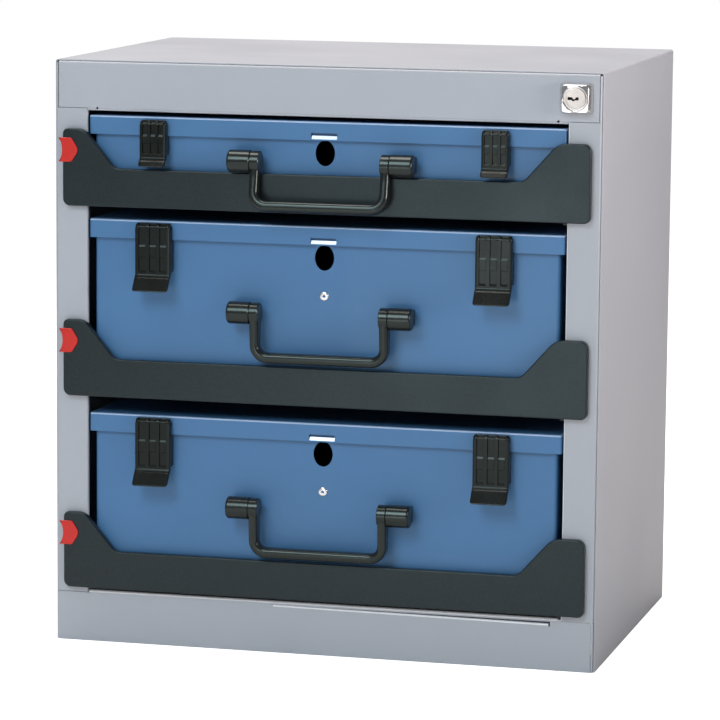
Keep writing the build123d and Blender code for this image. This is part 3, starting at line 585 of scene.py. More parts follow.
def make_stile(side, node):
    """A stile folded at both edges; its outer fold runs on beside the fascia."""
    outer, fold_radius = inner - seam, 0.0016
    inner_deep = side_flange if side > 0 else 0.0035
    face_top = fascia_low + fascia_lip - seam
    bm = bmesh.new()
    path = points((opening_half, front + inner_deep), (opening_half, front),
                  (outer, front), (outer, front + side_flange))
    outline = points(*((side * p.real, p.imag) for p in fold(path, sheet, fold_radius)))
    sheet_run(bm, outline, stile_foot, face_top, from_above)
    stile = cabinet_piece(node + "_sheet", bm, node)

    hook_in, hook_half, hook_half_tall, hook_deep = 0.009, 0.0033, 0.0038, 0.003
    tab_low, tab_high, tab_deep = 0.0027, 0.0079, 0.003
    tab_inside, tab_outside = 0.002, 0.003
    for level in levels:
        rail_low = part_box(level + "_front_rail")[0]
        hole = bmesh.new()
        if side < 0:
            slab(hole, both_ways(rail_low.x + hook_in, hook_half), both_ways(front, hook_deep),
                 both_ways(middle_of(level + "_release_button")[2], hook_half_tall))
        else:
            slab(hole, (opening_half - tab_inside, opening_half + tab_outside),
                 (front + sheet, front + sheet + tab_deep),
                 (rail_low.z - tab_low, rail_low.z + tab_high))
        cut(stile, hole)

    def fold_highlight_faces(spot, way):
        """Faces that look both forward and to the opening: they take a painted highlight."""
        to_opening, forward = way.x < -0.25, way.y < -0.15
        return to_opening and forward and spot.x < opening_half + fold_radius

    # the fold to the opening takes the lighter coat: a painted highlight
    if side > 0:
        refinish(stile, fold_painted_highlight, fold_highlight_faces)

    bm = bmesh.new()
    x0, x1 = on_side(side, inner - strip_wide, outer)
    corners = [fold_radius if x == outer * side else edge for x in (x0, x1)] + [edge, edge]
    outline = rounded(rectangle(x0, front, x1, front + side_flange), corners, 4)
    strip_end = 0.0014
    sheet_run(bm, outline, face_top - seam - edge, height - sheet - strip_end, from_above)
    cabinet_piece(node + "_strip", bm)


make_shell()
make_back()
make_plinth()
make_floor_sheet()
make_fascia()
make_stile(-1, "left_stile")
make_stile(1, "right_stile")
dress("slide_supports", cabinet_paint)


# ---------------------------------------------------------------- slides and locking bar
# Rolled slide channels, springs and pins in bright zinc plate, and a flat locking bar
# in near black, painted shade so that its tabs sink into the dark under the rails.
# They keep the frame's own shapes and take these finishes.

zinc_plate = make_finish(
    "zinc plate", (0.60, 0.61, 0.62), tone=(0.10, 30.0, 0.05, 700.0),
    skin=(1400.0, 0.000004, 40.0, 0.00001), roughness=(0.28, 0.42), metallic=1.0)
black_oxide_and_painted_shade = make_finish(
    "black oxide steel and painted shade", (0.030, 0.030, 0.032), tone=(0.10, 60.0, 0.05, 900.0),
    skin=(900.0, 0.000004, 60.0, 0.00001), roughness=(0.35, 0.45), metallic=0.6)

# the locking bar takes the near black so its tabs read as shade: painted shade
dress("locking_bar", black_oxide_and_painted_shade)
dress("slide_outers", zinc_plate)
for level in levels:
    for part in ("slide_middles", "slide_runners", "button_spring", "lid_hinge_pins"):
        dress(f"{level}_{part}", zinc_plate)


# ---------------------------------------------------------------- cam lock
# A die-cast chromed bezel, square and tapered, with a turned key barrel.
# The barrel turns in the bezel; its key slot is milled with two wards.

chrome = make_finish(
    "lock chrome", (0.72, 0.715, 0.71), tone=(0.04, 60.0, 0.02, 900.0),
    skin=(800.0, 0.000003, 60.0, 0.00001), roughness=(0.07, 0.14), metallic=1.0)
barrel_nickel = make_finish(
    "barrel nickel", (0.70, 0.645, 0.60), tone=(0.05, 80.0, 0.03, 1200.0),
    skin=(900.0, 0.000004, 70.0, 0.00001), roughness=(0.30, 0.42), metallic=1.0)
# Near black on the key slot's walls and floor: painted shade in the recess.
slot_painted_shade = make_finish(
    "key slot", (0.02, 0.02, 0.02), tone=(0.05, 80.0, 0.03, 1200.0),
    skin=(900.0, 0.000004, 70.0, 0.00001), roughness=(0.5, 0.6))

lock_x, _, lock_z = middle_of("lock_housing")
lock_centre = Vector((lock_x, front, lock_z))
lock_point = complex(lock_centre.x, lock_centre.z)
lock_out = 0.0087
cam_start, cam_end = 0.0175, 0.0195


def make_bezel():
    base, face, base_drop, bow = 0.030, 0.0245, 0.46, 0.0004
    rim, groove, hole = 0.0118, 0.0107, 0.00975
    directions, squareness = 120, 9
    ways = [exp(2j * pi * (k + 0.5) / directions) for k in range(directions)]

    def square(width, out):
        """A ring like a square with soft corners; the upper half of the face bows back."""
        ring = []
        for way in ways:
            spread = abs(way.real) ** squareness + abs(way.imag) ** squareness
            point = way * width / 2 / spread ** (1 / squareness)
            point -= 1j * point.imag * base_drop * (1 - face / max(width, face))
            back = bow * (max(point.imag, 0) / (face / 2)) ** 2 * out / lock_out
            ring.append(from_front(lock_point + point, front - out + back))
        return ring

    bm = bmesh.new()
    foot, taper_start, foot_in = 0.0010, 0.0014, 0.0006
    rings = [square(base, 0), square(base, foot), square(base - foot_in, taper_start)]
    belly, face_round, face_in, swell = 0.0008, 0.0008, 0.0012, 0.8
    for share in (0.25, 0.5, 0.75, 1.0):
        width = base + (face - base) * share ** swell + belly * sin(pi * share)
        rings.append(square(width, taper_start + (lock_out - face_round - taper_start) * share))
    for k in (1, 2, 3):
        swing = pi / 2 * k / 3
        rings.append(square(face - face_in * (1 - cos(swing)),
                            lock_out - face_round * (1 - sin(swing))))
    rim_up, groove_deep, hole_deep = 0.0003, 0.002, 0.008
    for radius, rise in ((rim + 0.0001, -0.0001), (rim - 0.0002, 0.0001), (rim - 0.0006, rim_up),
                         (groove + rim_up, rim_up), (groove, 0), (groove - 0.0001, -groove_deep),
                         (hole, -groove_deep), (hole, -hole_deep)):
        rings.append([from_front(lock_point + radius * way, front - lock_out - rise)
                      for way in ways])
    stack(bm, rings)
    body, body_end, ease = 0.0125, 0.0172, 0.0004
    lathe(bm, lock_centre, "y", [(body - ease, 0), (body, ease), (body, body_end - ease),
                                 (body - ease, body_end)], 48)
    make_piece("lock_bezel", bm, chrome, "cabinet", "lock_chrome", "lock_housing", sharp=50)


def make_barrel():
    radius, dish, lip = 0.0097, 0.0003, 0.0005
    slot_floor, slot_reach, on_floor = front - lock_out + 0.006, 0.0071, 0.0005
    bm = bmesh.new()
    lathe(bm, lock_centre, "y", [
        (0.0074, dish - lock_out), (0.0078, 0.0001 - lock_out), (radius - lip, -lock_out),
        (radius - 0.00015, 0.00015 - lock_out), (radius, lip - lock_out), (radius, cam_start)], 64)
    barrel = make_piece("key_barrel", bm, barrel_nickel, "lock_barrel", "lock_chrome",
                        "lock_barrel")
    millimetre, slot_corner = 0.001, 0.00025
    slot_middle = lock_point + complex(-1.2, 0.2) * millimetre
    wards = points((-5.4, -1.3), (-1.8, -1.3), (-0.9, -2.2), (0.3, -2.2), (1.3, -1.4), (4.4, -1.4),
                   (4.4, 1.3), (2.2, 1.3), (0.9, -0.5), (-0.3, -0.5), (-1.5, 1.3), (-5.4, 1.3))
    key = bmesh.new()
    layers(key, rounded([slot_middle + p * millimetre for p in wards], slot_corner, 2),
           [(0, front - lock_out - millimetre), (0, slot_floor)])
    cut(barrel, key)

    def slot_shade_faces(spot, way):
        near = hypot(spot.x - lock_centre.x, spot.z - lock_centre.z) < slot_reach
        wall = near and abs(way.y) < 0.5 and spot.y < slot_floor + edge
        return wall or way.y < -0.5 and abs(spot.y - slot_floor) < on_floor

    # the slot's walls and floor take the near black: painted shade in the recess
    refinish(barrel, slot_painted_shade, slot_shade_faces)


def make_cam():
    """The cam behind the barrel, with the pin that drives the locking bar."""
    cam_reach, cam_half, cam_corner = 0.008, 0.0045, 0.0044
    pin_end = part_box("lock_barrel")[1].y - front
    pin, ease = 0.002, 0.0003
    bm = bmesh.new()
    arm = rectangle(lock_point.real - cam_half, lock_point.imag - cam_half,
                    lock_point.real + cam_reach + cam_half, lock_point.imag + cam_half)
    sheet_run(bm, rounded(arm, cam_corner, 6), front + cam_start, front + cam_end)
    lathe(bm, lock_centre + Vector((cam_reach, 0, 0)), "y",
          [(pin, cam_end - edge), (pin, pin_end - ease), (pin - ease, pin_end)], 20)
    make_piece("lock_cam", bm, zinc_plate, "lock_barrel", "zinc_steel")


make_bezel()
make_barrel()
make_cam()


# ---------------------------------------------------------------- trays, front rails and buttons
# A black painted sheet tray; its rail is one charcoal moulding with an ear at each end,
# ribbed and hollow behind. The red button slides in the left ear against a small spring.

tray_paint = make_finish(
    "tray paint", (0.034, 0.034, 0.035), tone=(0.10, 14.0, 0.06, 900.0),
    skin=(900.0, 0.000012, 12.0, 0.00005), roughness=(0.42, 0.55))
rail_plastic = make_finish(
    "rail plastic", (0.0105, 0.0135, 0.015), tone=(0.12, 16.0, 0.60, 520.0),
    skin=(700.0, 0.00004, 14.0, 0.00006), roughness=(0.29, 0.36), specular=0.46,
    sheen_colour=(0.74, 0.95, 1.0))
button_plastic = make_finish(
    "button plastic", (0.62, 0.016, 0.010), tone=(0.05, 60.0, 0.03, 900.0),
    skin=(900.0, 0.000006, 60.0, 0.00002), roughness=(0.30, 0.38))

rail_front, rail_back = front - 0.0065, front - 0.0005
slider_in = 0.004  # from the rail's left end to the button's slider
slider_long, slider_half = 0.009, 0.0045
stem_long, stem_half = 0.005, 0.0041
press, fit = 0.003, 0.0002  # the button's travel, and its play in the rail


def quarter(radius, steps=4):
    """(inset, rise) pairs round a quarter turn, from the flat to the upright."""
    return [(radius * (1 - sin(pi / 2 * k / steps)), radius * (1 - cos(pi / 2 * k / steps)))
            for k in range(steps + 1)]


def stack_strips(bm, rings):
    """Joins rings that run out and back in equal steps; strips of quads close both ends."""
    stack(bm, rings, capped=False)
    bm.verts.ensure_lookup_table()
    count = len(rings[0])
    for first in (0, count * (len(rings) - 1)):
        for k in range(count // 2 - 1):
            bm.faces.new([bm.verts[first + i] for i in (k, k + 1, count - 2 - k, count - 1 - k)])


def make_rail(level):
    low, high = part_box(level + "_front_rail")
    reach, z = high.x, low.z
    tall, short = 0.070, 0.035
    left_ear, left_slope, right_ear, right_slope = 0.020, 0.029, 0.0295, 0.031
    left, right = -reach + left_ear, reach - right_ear
    corners = points((-reach, z), (reach, z), (reach, z + tall), (right, z + tall),
                     (right - right_slope, z + short), (left + left_slope, z + short),
                     (left, z + tall), (-reach, z + tall))
    radii = [0.0065, 0.0055, 0.007, 0.018, 0.013, 0.012, 0.014, 0.0045]
    ease, wall, skin = 0.0012, 0.0018, 0.002
    cavity = rail_front + skin
    rail = bmesh.new()
    layers(rail, rounded(corners, radii, 8),
           [(inward, rail_front + rise) for inward, rise in quarter(ease)] +
           [(0, rail_back), (wall, rail_back), (wall, cavity)])

    middle_z = middle_of(level + "_release_button")[2]
    guide, spring_long = 0.0055, 0.009
    spring_end = -reach + slider_in + slider_long + spring_long
    for rib in both_ways(middle_z, guide):
        slab(rail, (-reach + wall / 2, spring_end + wall), (cavity - edge, rail_back),
             both_ways(rib, wall / 2))
    slab(rail, (spring_end, spring_end + wall), (cavity - edge, rail_back),
         both_ways(middle_z, guide))
    peg, peg_ease, peg_long, peg_pitch, peg_up = 0.0025, 0.0004, 0.003, 0.11, 0.00775
    peg_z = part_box(level + "_tray")[0].z + peg_up
    for k in range(4):
        lathe(rail, Vector((peg_pitch * (k - 1.5), 0, peg_z)), "y",
              [(peg, cavity - edge), (peg, rail_back + peg_long - peg_ease),
               (peg - peg_ease, rail_back + peg_long)], 20)
    piece = make_piece(level + "_rail", rail, rail_plastic, level + "_tray", "rail_plastic",
                       level + "_front_rail", sharp=50)
    slot, slot_left, past = bmesh.new(), -reach + slider_in, 0.001
    slab(slot, (slot_left - fit, slot_left + stem_long + press + fit),
         (rail_front - past, cavity + past), both_ways(middle_z, stem_half + fit))
    cut(piece, slot)


def make_button(level):
    rail_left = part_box(level + "_front_rail")[0].x
    middle_z = middle_of(level + "_release_button")[2]
    left = rail_left - 0.0035
    tall, long, flat, hollow = 0.011, 0.019, 0.012, 0.0034
    back, plate = front - 0.0067, 0.0016
    nose = rounded(points((left, middle_z - tall), (left + flat, middle_z - tall),
                          (left + long, middle_z), (left + flat, middle_z + tall),
                          (left, middle_z + tall)), [0.0002, 0.0030, 0.0065, 0.0030, 0.0002])
    scoop_radius = (tall ** 2 + hollow ** 2) / (2 * hollow)
    scoop_centre = complex(left + hollow - scoop_radius, middle_z)
    spread, count = asin(tall / scoop_radius), len(nose)
    scoop = [scoop_centre + scoop_radius * exp(1j * spread * (1 - 2 * (k + 1) / (count + 1)))
             for k in range(count)]
    bevel, lift = 0.0007, 0.0006
    bm = bmesh.new()
    depths = [(bevel, back - plate), (bevel * 0.4, back - plate + lift * 0.3),
              (0, back - plate + lift), (0, back)]
    stack_strips(bm, [[from_front(p, depth) for p in inset(nose + scoop, amount)]
                      for amount, depth in depths])
    slider_left, slider_front = rail_left + slider_in, front - 0.0043
    hook_half, hook_long, hook_end = 0.0035, 0.003, front + 0.0082
    slab(bm, (slider_left, slider_left + stem_long), (back - plate / 2, slider_front),
         both_ways(middle_z, stem_half))
    slab(bm, (slider_left, slider_left + slider_long), (slider_front, rail_back - fit),
         both_ways(middle_z, slider_half))
    slab(bm, (slider_left + stem_long - hook_long, slider_left + stem_long),
         (rail_back - fit - 0.001, hook_end), both_ways(middle_z, hook_half))
    make_piece(level + "_button_red", bm, button_plastic, level + "_button", "button_plastic",
               level + "_release_button", sharp=25)


for level in levels:
    dress(level + "_tray", tray_paint)
    make_rail(level)
    make_button(level)


# ---------------------------------------------------------------- cases
# Deep-drawn steel boxes 0.9 mm thick in mid blue stoved enamel. The lid's skirt laps
# the box all round; a slotted tongue is pressed in it, and two hinges join them behind.

case_enamel = make_finish(
    "case enamel", (0.060, 0.188, 0.390), tone=(0.06, 8.0, 0.04, 1300.0),
    skin=(900.0, 0.000012, 10.0, 0.00006), roughness=(0.40, 0.50), coat=0.05)
# A far lighter enamel on the lid's top crease where it faces up: a painted highlight along the edge.
crease_painted_highlight = make_finish(
    "case enamel with painted highlight on the crease", (0.36, 0.50, 0.72), tone=(0.08, 30.0, 0.05, 1300.0),
    skin=(900.0, 0.000012, 10.0, 0.00006), roughness=(0.30, 0.42), coat=0.15)
# A pale, part metallic enamel on the pressed tongue: a painted highlight where it catches the light
# from above.
tongue_painted_highlight = make_finish(
    "painted highlight on the tongue", (0.66, 0.72, 0.80), tone=(0.06, 60.0, 0.04, 1300.0),
    skin=(900.0, 0.000008, 40.0, 0.00003), roughness=(0.28, 0.36), metallic=0.3)
rivet_metal = make_finish(
    "rivet metal", (0.86, 0.86, 0.87), tone=(0.05, 90.0, 0.03, 1200.0),
    skin=(900.0, 0.000004, 70.0, 0.00001), roughness=(0.22, 0.32), metallic=1.0)

case_sheet, case_corner = 0.0009, 0.003
case_depth, lid_half, overhang, skirt = 0.330, 0.220, 0.0045, 0.017
box_front, box_rear, case_rear = front + overhang, front + case_depth - overhang, front + case_depth
slot_half, slot_half_tall, slot_down = 0.012, 0.00275, 0.013  # the lid's slot, below its top
cut_before, cut_behind = 0.002, 0.003  # how far a cutter reaches past a wall's face
hinge_middles, hinge_third, knuckle_radius = (-0.15, 0.15), 0.015, 0.003
tall_levels = ("bottom", "middle")


def deep_drawn(bm, x_half, y0, y1, closed_z, open_z, radius):
    """A drawn box: its closed face is rounded into the walls, whose rim is eased."""
    up = 1 if open_z > closed_z else -1
    steps = [(inward, closed_z + up * rise) for inward, rise in quarter(radius)]
    steps += [(0, open_z - up * edge), (edge, open_z), (case_sheet - edge, open_z),
              (case_sheet, open_z - up * edge)]
    steps += [(case_sheet + inward, closed_z + up * (case_sheet + rise))
              for inward, rise in quarter(radius - case_sheet / 2)[::-1]]
    layers(bm, rounded(rectangle(-x_half, y0, x_half, y1), case_corner, 6), steps, from_above)


def add_knuckles(bm, thirds, lid_top, leaf_y, leaf_low):
    """Rolled knuckles on some thirds of both hinges, with the leaf that joins each to its wall."""
    bore, ease, leaf, gap, above_hem = 0.0016, 0.0003, 0.0014, 0.00015, 0.001
    flat_end = knuckle_radius - ease
    hinge = Vector((0, case_rear + knuckle_radius, lid_top - skirt + above_hem))
    low = hinge.z - knuckle_radius if leaf_low else hinge.z + knuckle_radius - leaf
    for middle in hinge_middles:
        for place in thirds:
            x0, x1 = both_ways(middle + place * hinge_third, hinge_third / 2 - gap)
            lathe(bm, hinge, "x", [
                (bore, x0), (flat_end, x0), (knuckle_radius, x0 + ease),
                (knuckle_radius, x1 - ease), (flat_end, x1), (bore, x1)], 28)
            slab(bm, (x0, x1), (leaf_y - ease, hinge.y), (low, low + leaf))


def make_box(level, lid_top):
    base_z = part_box(level + "_case_body")[0].z
    fit_under_lid, drawn = 0.0002, 0.0018
    bm = bmesh.new()
    deep_drawn(bm, lid_half - overhang, box_front, box_rear, base_z,
               lid_top - case_sheet - fit_under_lid, drawn)
    add_knuckles(bm, (-1, 1), lid_top, box_rear, leaf_low=True)
    box = make_piece(level + "_case_box", bm, case_enamel, level + "_case", "case_paint",
                     level + "_case_body")
    hole_half, hole_half_tall, hole_down, steps = 0.009, 0.0115, 0.0285, 48
    turns = [2 * pi * k / steps for k in range(steps)]
    hole = bmesh.new()
    layers(hole, points(*((hole_half * cos(t), lid_top - hole_down + hole_half_tall * sin(t))
                          for t in turns)), [(0, box_front - cut_before), (0, box_front + cut_behind)])
    cut(box, hole)


def make_lid(level, lid_top):
    crease, least_rise = 0.0015, 0.00005
    bm = bmesh.new()
    deep_drawn(bm, lid_half, front, case_rear, lid_top, lid_top - skirt, crease)
    add_knuckles(bm, (0,), lid_top, case_rear, leaf_low=False)
    lid = make_piece(level + "_lid_shell", bm, case_enamel, level + "_lid", "case_paint",
                     level + "_case_lid")
    # the top crease, where it faces up, takes the lighter enamel: a painted highlight
    refinish(lid, crease_painted_highlight, lambda spot, way: way.z > 0.05 and
             lid_top - crease < spot.z < lid_top - least_rise)
    slot = bmesh.new()
    slab(slot, both_ways(0, slot_half), (front - cut_before, front + cut_behind),
         both_ways(lid_top - slot_down, slot_half_tall), edge * 2)
    cut(lid, slot)


def make_tongue(level, lid_top):
    """The strip pressed in under the lid's slot, in the pale enamel of a painted highlight."""
    slot_low, thick = lid_top - slot_down - slot_half_tall, 0.0008
    head, foot = (front + 0.0018, slot_low + 0.0030), (front + 0.0003, slot_low - 0.0002)
    bm = bmesh.new()
    sheet_run(bm, fold(points(head, foot), thick, 0), edge - slot_half, slot_half - edge,
              from_side)
    make_piece(level + "_lid_tongue", bm, tongue_painted_highlight, level + "_lid", "case_paint")


def make_rivet(level, lid_top):
    down, head, rise, bore, bore_ease = 0.063, 0.0042, 0.0013, 0.0011, 0.0003
    hole, crown_start = 0.0024, 1.4 * bore
    profile = [(bore, 0.0016), (bore, bore_ease - rise), (bore + bore_ease, -rise)]
    profile += [(crown_start + (head - crown_start) * sin(t), -rise * cos(t) ** 0.7)
                for t in (pi / 2 * k / 8 for k in range(1, 8))]
    profile += [(head, 0), (hole, 0), (hole, case_sheet), (0.0032, 0.0010), (0.0032, 0.0032),
                (0.0026, 0.0034)]
    bm = bmesh.new()
    lathe(bm, Vector((0, box_front, lid_top - down)), "y", profile, 32)
    make_piece(level + "_rivet", bm, rivet_metal, level + "_case", "rivet_steel",
               level + "_case_rivet", sharp=60)


for level in levels:
    lid_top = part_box(level + "_case_lid")[1].z
    make_box(level, lid_top)
    make_lid(level, lid_top)
    make_tongue(level, lid_top)
    if level in tall_levels:
        make_rivet(level, lid_top)


# ---------------------------------------------------------------- bail handles
# One black moulding, thick at the grip, that turns in two bosses screwed to the case.
# The thin case's bail rests against its rail, so it stands a little forward.

handle_plastic = make_finish(
    "handle plastic", (0.009, 0.010, 0.0095), tone=(0.10, 30.0, 0.10, 900.0),
    skin=(900.0, 0.000006, 30.0, 0.00003), roughness=(0.20, 0.27), specular=0.5,
    sheen_colour=(0.80, 0.98, 0.93))

arm_outer, arm_thick, grip_deep, eye_deep = 0.064, 0.0080, 0.012, 0.0172
arm_inner = arm_outer - arm_thick
grip_drop, grip_thick, grip_corner = 0.0399, 0.0092, 0.016
boss_radius, boss_long, shaft_radius = 0.0102, 0.021, 0.004
eye_radius, pivot_out = 0.0097, 0.0105
thin_lean = radians(12.58)


def make_bosses(level, axis):
    start, end = arm_outer + seam, arm_outer + seam + boss_long
    round_start, round_end = 0.0005, 0.0022
    dimple_edge, dimple_deep, dimple = 0.0012, 0.0004, 0.002
    profile = [(boss_radius - round_start, start), (boss_radius, start + round_start)]
    profile += [(boss_radius - inward, end - rise) for inward, rise in quarter(round_end)[::-1]]
    profile += [(boss_radius - round_end - dimple_edge, end - dimple_deep),
                (dimple, end - dimple_deep)]
    foot_half_tall, foot_corner, foot_ease = 0.0075, 0.0012, 0.0006
    bm = bmesh.new()
    for side in (-1, 1):
        lathe(bm, axis, "x", [(radius, side * along) for radius, along in profile], 48)
        lathe(bm, axis, "x", [(shaft_radius, side * (arm_inner + seam)),
                              (shaft_radius, side * (start + dimple_deep))], 24)
        x0, x1 = on_side(side, start + foot_ease, end - foot_corner)
        foot = rounded(rectangle(x0, axis.z - foot_half_tall, x1, axis.z + foot_half_tall),
                       foot_corner, 4)
        layers(bm, foot, [(0, axis.y), (0, box_front - foot_ease), (foot_ease, box_front)])
    make_piece(level + "_handle_bosses", bm, handle_plastic, level + "_case", "handle_plastic",
               level + "_handle_pivots")


def make_bail(level, axis):
    """The bail is lofted through stations, each an outer and an inner point of its middle plane."""
    reach, inner_corner, turn_steps = grip_drop + grip_thick / 2, grip_corner - arm_thick, 12
    stations = [(complex(-arm_outer, -down), complex(-arm_inner, -down))
                for down in (0, 0.005, 0.009, 0.016)]
    outer_turn = complex(grip_corner - arm_outer, grip_corner - reach)
    inner_turn = complex(inner_corner - arm_inner, inner_corner - reach + grip_thick)
    for k in range(turn_steps + 1):
        swing = exp(1j * (pi + pi / 2 * k / turn_steps))
        stations.append((outer_turn + grip_corner * swing, inner_turn + inner_corner * swing))
    for share in (0.6, 0.3, 0):
        x = (grip_corner - arm_outer) * share
        stations.append((complex(x, -reach), complex(x, grip_thick - reach)))
    stations += [(-outer.conjugate(), -inside.conjugate()) for outer, inside in stations[-2::-1]]

    lean = Matrix.Rotation(-thin_lean if level == "top" else 0, 3, "X")
    deep_until = 0.009 if level == "top" else 0.040
    corner_share, largest_corner, corner_steps = 0.42, 0.0037, 5
    rings = []
    for outer, inside in stations:
        across = inside - outer
        thick = abs(across)
        radius = min(corner_share * thick, largest_corner)
        deep_share = max(1 + min(inside.imag, 0) / deep_until, 0)
        arm_deep = grip_deep + (eye_deep - grip_deep) * deep_share
        flat, deep = thick / 2 - radius, arm_deep / 2 - radius
        ring = []
        for begin, (flat_way, deep_way) in enumerate(((1, 1), (-1, 1), (-1, -1), (1, -1))):
            for k in range(corner_steps + 1):
                swing = pi / 2 * (begin + k / corner_steps)
                spot = (outer + inside) / 2 + unit(across) * (flat_way * flat + radius * cos(swing))
                out = deep_way * deep + radius * sin(swing)
                ring.append(axis + lean @ Vector((spot.real, out, spot.imag)))
        rings.append(ring)
    bm = bmesh.new()
    stack(bm, rings)

    ease, eye_bore = 0.0005, shaft_radius + 0.00015
    proud_inside, proud_outside = 0.0003, 0.0001
    for side in (-1, 1):
        x0, x1 = side * (arm_inner - proud_inside), side * (arm_outer + proud_outside)
        lathe(bm, axis, "x", [
            (eye_bore, x0), (eye_radius - ease, x0), (eye_radius, x0 + side * ease),
            (eye_radius, x1 - side * ease), (eye_radius - ease, x1), (eye_bore, x1)], 48)
    make_piece(level + "_bail", bm, handle_plastic, level + "_handle", "handle_plastic",
               level + "_case_handle")


for level in levels:
    boss_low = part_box(level + "_handle_pivots")[0].z
    pivot = Vector((0, front - pivot_out, boss_low + boss_radius))
    make_bosses(level, pivot)
    make_bail(level, pivot)


# ---------------------------------------------------------------- latches
# A black moulded draw latch with four ribs and three grooves, hinged on the lid's
# steel lugs. Its flared foot is the finger pull, and cheeks close its sides.

latch_plastic = make_finish(
    "latch plastic", (0.007, 0.008, 0.0075), tone=(0.10, 40.0, 0.12, 900.0),
    skin=(900.0, 0.000006, 40.0, 0.00002), roughness=(0.22, 0.30), specular=0.27,
    sheen_colour=(0.84, 0.98, 0.93))

# Each size: width, height, start below the lid's top, then the flared foot's length and reach,
# the width of a rib, and how far down the grooves step.
thin_latch = dict(width=0.0245, tall=0.0416, drop=0.0026, flare=0.0085, throw=0.0062,
                  rib=0.0026, ledge=0.0131)
tall_latch = dict(width=0.033, tall=0.0609, drop=0.0018, flare=0.0152, throw=0.0106,
                  rib=0.0034, ledge=0.0198)
barrel_radius, rib_rise, plate_thick = 0.0041, 0.0015, 0.0022
hinge_out = 0.0043  # the hinge's axis before the lid
latch_out = hinge_out + barrel_radius


def add_ribbed_plate(bm, middle, top, size):
    """Rows run down the plate from its hinge, at s below its top, and columns across its ribs."""
    tall, wide, rib = size["tall"], size["width"] / 2, size["rib"]
    pitch = (size["width"] - rib) / 3
    groove_half, draft, groove_floor = (pitch - rib) / 2, 0.0004, latch_out - rib_rise
    ledge_at, ledge_long, ledge_rise, soft = size["ledge"], 0.0015, 0.0008, 0.0003
    pit_at, groove_end, ridge_at = 0.505 * tall, 0.70 * tall, 0.735 * tall
    bend_at, bend_soft, bend_pitch = tall - size["flare"], 0.0012, 0.0004
    step_at, step_rise, after_step = bend_at + 0.0034, 0.0004, 0.001
    corner, tip, hair = 0.0025, 0.0010, 0.0001
    corner_at = tall - corner

    def rib_face(s):
        past = max(s - bend_at, 0)
        steep = size["throw"] / (size["flare"] - bend_soft)
        step = min(max((s - step_at) / step_rise, 0), 1) * step_rise
        return latch_out + steep * (hypot(past, bend_soft) - bend_soft) + step

    def groove_face(s):
        if s < pit_at:
            return groove_floor + ledge_rise * min(max((s - ledge_at) / ledge_long, 0), 1)
        if s < groove_end:
            return groove_floor + hair
        if s < ridge_at:
            return groove_floor + rib_rise * (s - groove_end) / (ridge_at - groove_end)
        return rib_face(s)

    side_round = [(0, 0.0009), (0.0003, 0.0003), (0.0009, 0)]
    columns = [(x - wide, rib_face, sunk) for x, sunk in side_round]
    for centre in (-pitch, 0, pitch):
        low, high = both_ways(centre, groove_half)
        columns += [(low, rib_face, 0), (low + draft, groove_face, 0),
                    (high - draft, groove_face, 0), (high, rib_face, 0)]
    columns += [(wide - x, rib_face, sunk) for x, sunk in side_round[::-1]]
    rows = [barrel_radius, barrel_radius + 0.001, ledge_at - soft, ledge_at,
            ledge_at + ledge_long, ledge_at + ledge_long + soft, pit_at - hair, pit_at + soft,
            groove_end, ridge_at]
    rows += [bend_at + bend_pitch * k for k in range(8)]
    rows += [step_at, step_at + step_rise]
    rows += [step_at + after_step + (corner_at - step_at - after_step) * k / 4 for k in range(5)]
    rows += [corner_at + corner * sin(pi / 2 * k / 6) for k in range(1, 7)]

    rings = []
    for s in rows:
        past_corner, past_tip = max(s - corner_at, 0), max(s - tall + tip, 0) / tip
        trim = corner - sqrt(max(corner ** 2 - past_corner ** 2, 0))
        tip_back = tip * (1 - sqrt(1 - min(past_tip, 1) ** 2))
        rear_face = front - rib_face(s) + rib_rise + plate_thick
        across = [(middle + x * (wide - trim) / wide, section, sunk) for x, section, sunk in columns]
        rings.append([(x, front - section(s) + sunk + tip_back, top - s)
                      for x, section, sunk in across] +
                     [(x, rear_face, top - s) for x, section, sunk in across[::-1]])
    stack_strips(bm, rings)


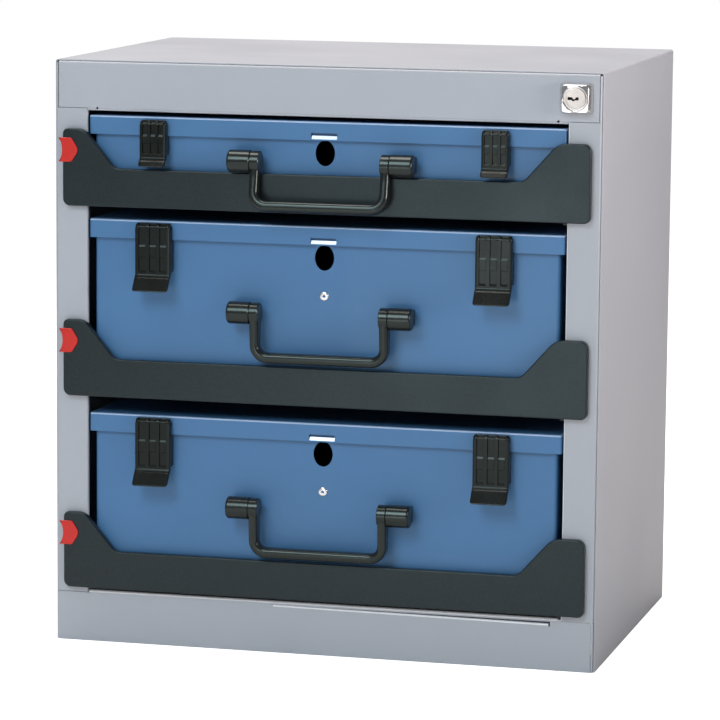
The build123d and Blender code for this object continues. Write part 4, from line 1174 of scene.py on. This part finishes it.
def add_hinge_barrel(bm, hinge, size):
    """Two inner and two outer knuckles in line with the ribs, the shaft and the web behind it."""
    wide, rib, corner, ease = size["width"] / 2, size["rib"], 0.0022, 0.0005
    inner_rib = (size["width"] - rib) / 6 + rib / 2
    for x0, x1 in ((-inner_rib, rib - inner_rib), (inner_rib - rib, inner_rib)):
        lathe(bm, hinge, "x", [(barrel_radius - ease, x0), (barrel_radius, x0 + ease),
                               (barrel_radius, x1 - ease), (barrel_radius - ease, x1)], 40)
    for end in (-1, 1):
        profile = [(barrel_radius - inward, end * (wide - rise))
                   for inward, rise in quarter(corner)]
        profile += [(barrel_radius, end * (wide - rib + ease)),
                    (barrel_radius - ease, end * (wide - rib))]
        lathe(bm, hinge, "x", profile, 40)
    shaft, shaft_half = barrel_radius - rib_rise, wide - rib + ease
    lathe(bm, hinge, "x", [(shaft, -shaft_half), (shaft, shaft_half)], 40)
    web_out, web_back = 0.0008, 0.0011
    web = rounded(rectangle(hinge.x - wide + edge, hinge.z, hinge.x + wide - edge,
                            hinge.z + barrel_radius), [edge, edge, corner, corner], 5)
    layers(bm, web, [(edge, hinge.y - web_out), (0, hinge.y - web_out + edge),
                     (0, hinge.y + web_back)])


def add_cheeks(bm, middle, top, size):
    """Side walls that reach back to the lid's skirt and, below it, to the box."""
    wide, wall, clear, sunk, heel = size["width"] / 2, 0.0015, 0.0003, 0.0008, 0.002
    hinge_z, skirt_z = top - barrel_radius, top - skirt - clear + size["drop"]
    bend_z = top - size["tall"] + size["flare"]
    groove_y, lid_y, box_y = front - latch_out + sunk, front - clear, box_front - clear
    outline = rounded(points((groove_y, hinge_z), (groove_y, bend_z), (box_y, bend_z + heel),
                             (box_y, skirt_z), (lid_y, skirt_z), (lid_y, hinge_z)),
                      [0.0002, 0.0012, 0.0015, 0.0006, 0.0006, 0.0015], 4)
    for side in (-1, 1):
        x0, x1 = on_side(side, wide - edge, wide - wall)
        sheet_run(bm, outline, middle + x0, middle + x1, from_side)


def make_latch(level, hand, size):
    name = f"{level}_latch_{hand}"
    middle = middle_of(name)[0]
    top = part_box(level + "_case_lid")[1].z - size["drop"]
    bm = bmesh.new()
    add_ribbed_plate(bm, middle, top, size)
    add_hinge_barrel(bm, Vector((middle, front - hinge_out, top - barrel_radius)), size)
    add_cheeks(bm, middle, top, size)
    make_piece(name + "_moulding", bm, latch_plastic, name, "latch_plastic", name, sharp=32)


for level in levels:
    dress(level + "_latch_hinges", black_oxide_and_painted_shade)
    dress(level + "_latch_catches", black_oxide_and_painted_shade)
    for hand in ("left", "right"):
        make_latch(level, hand, tall_latch if level in tall_levels else thin_latch)
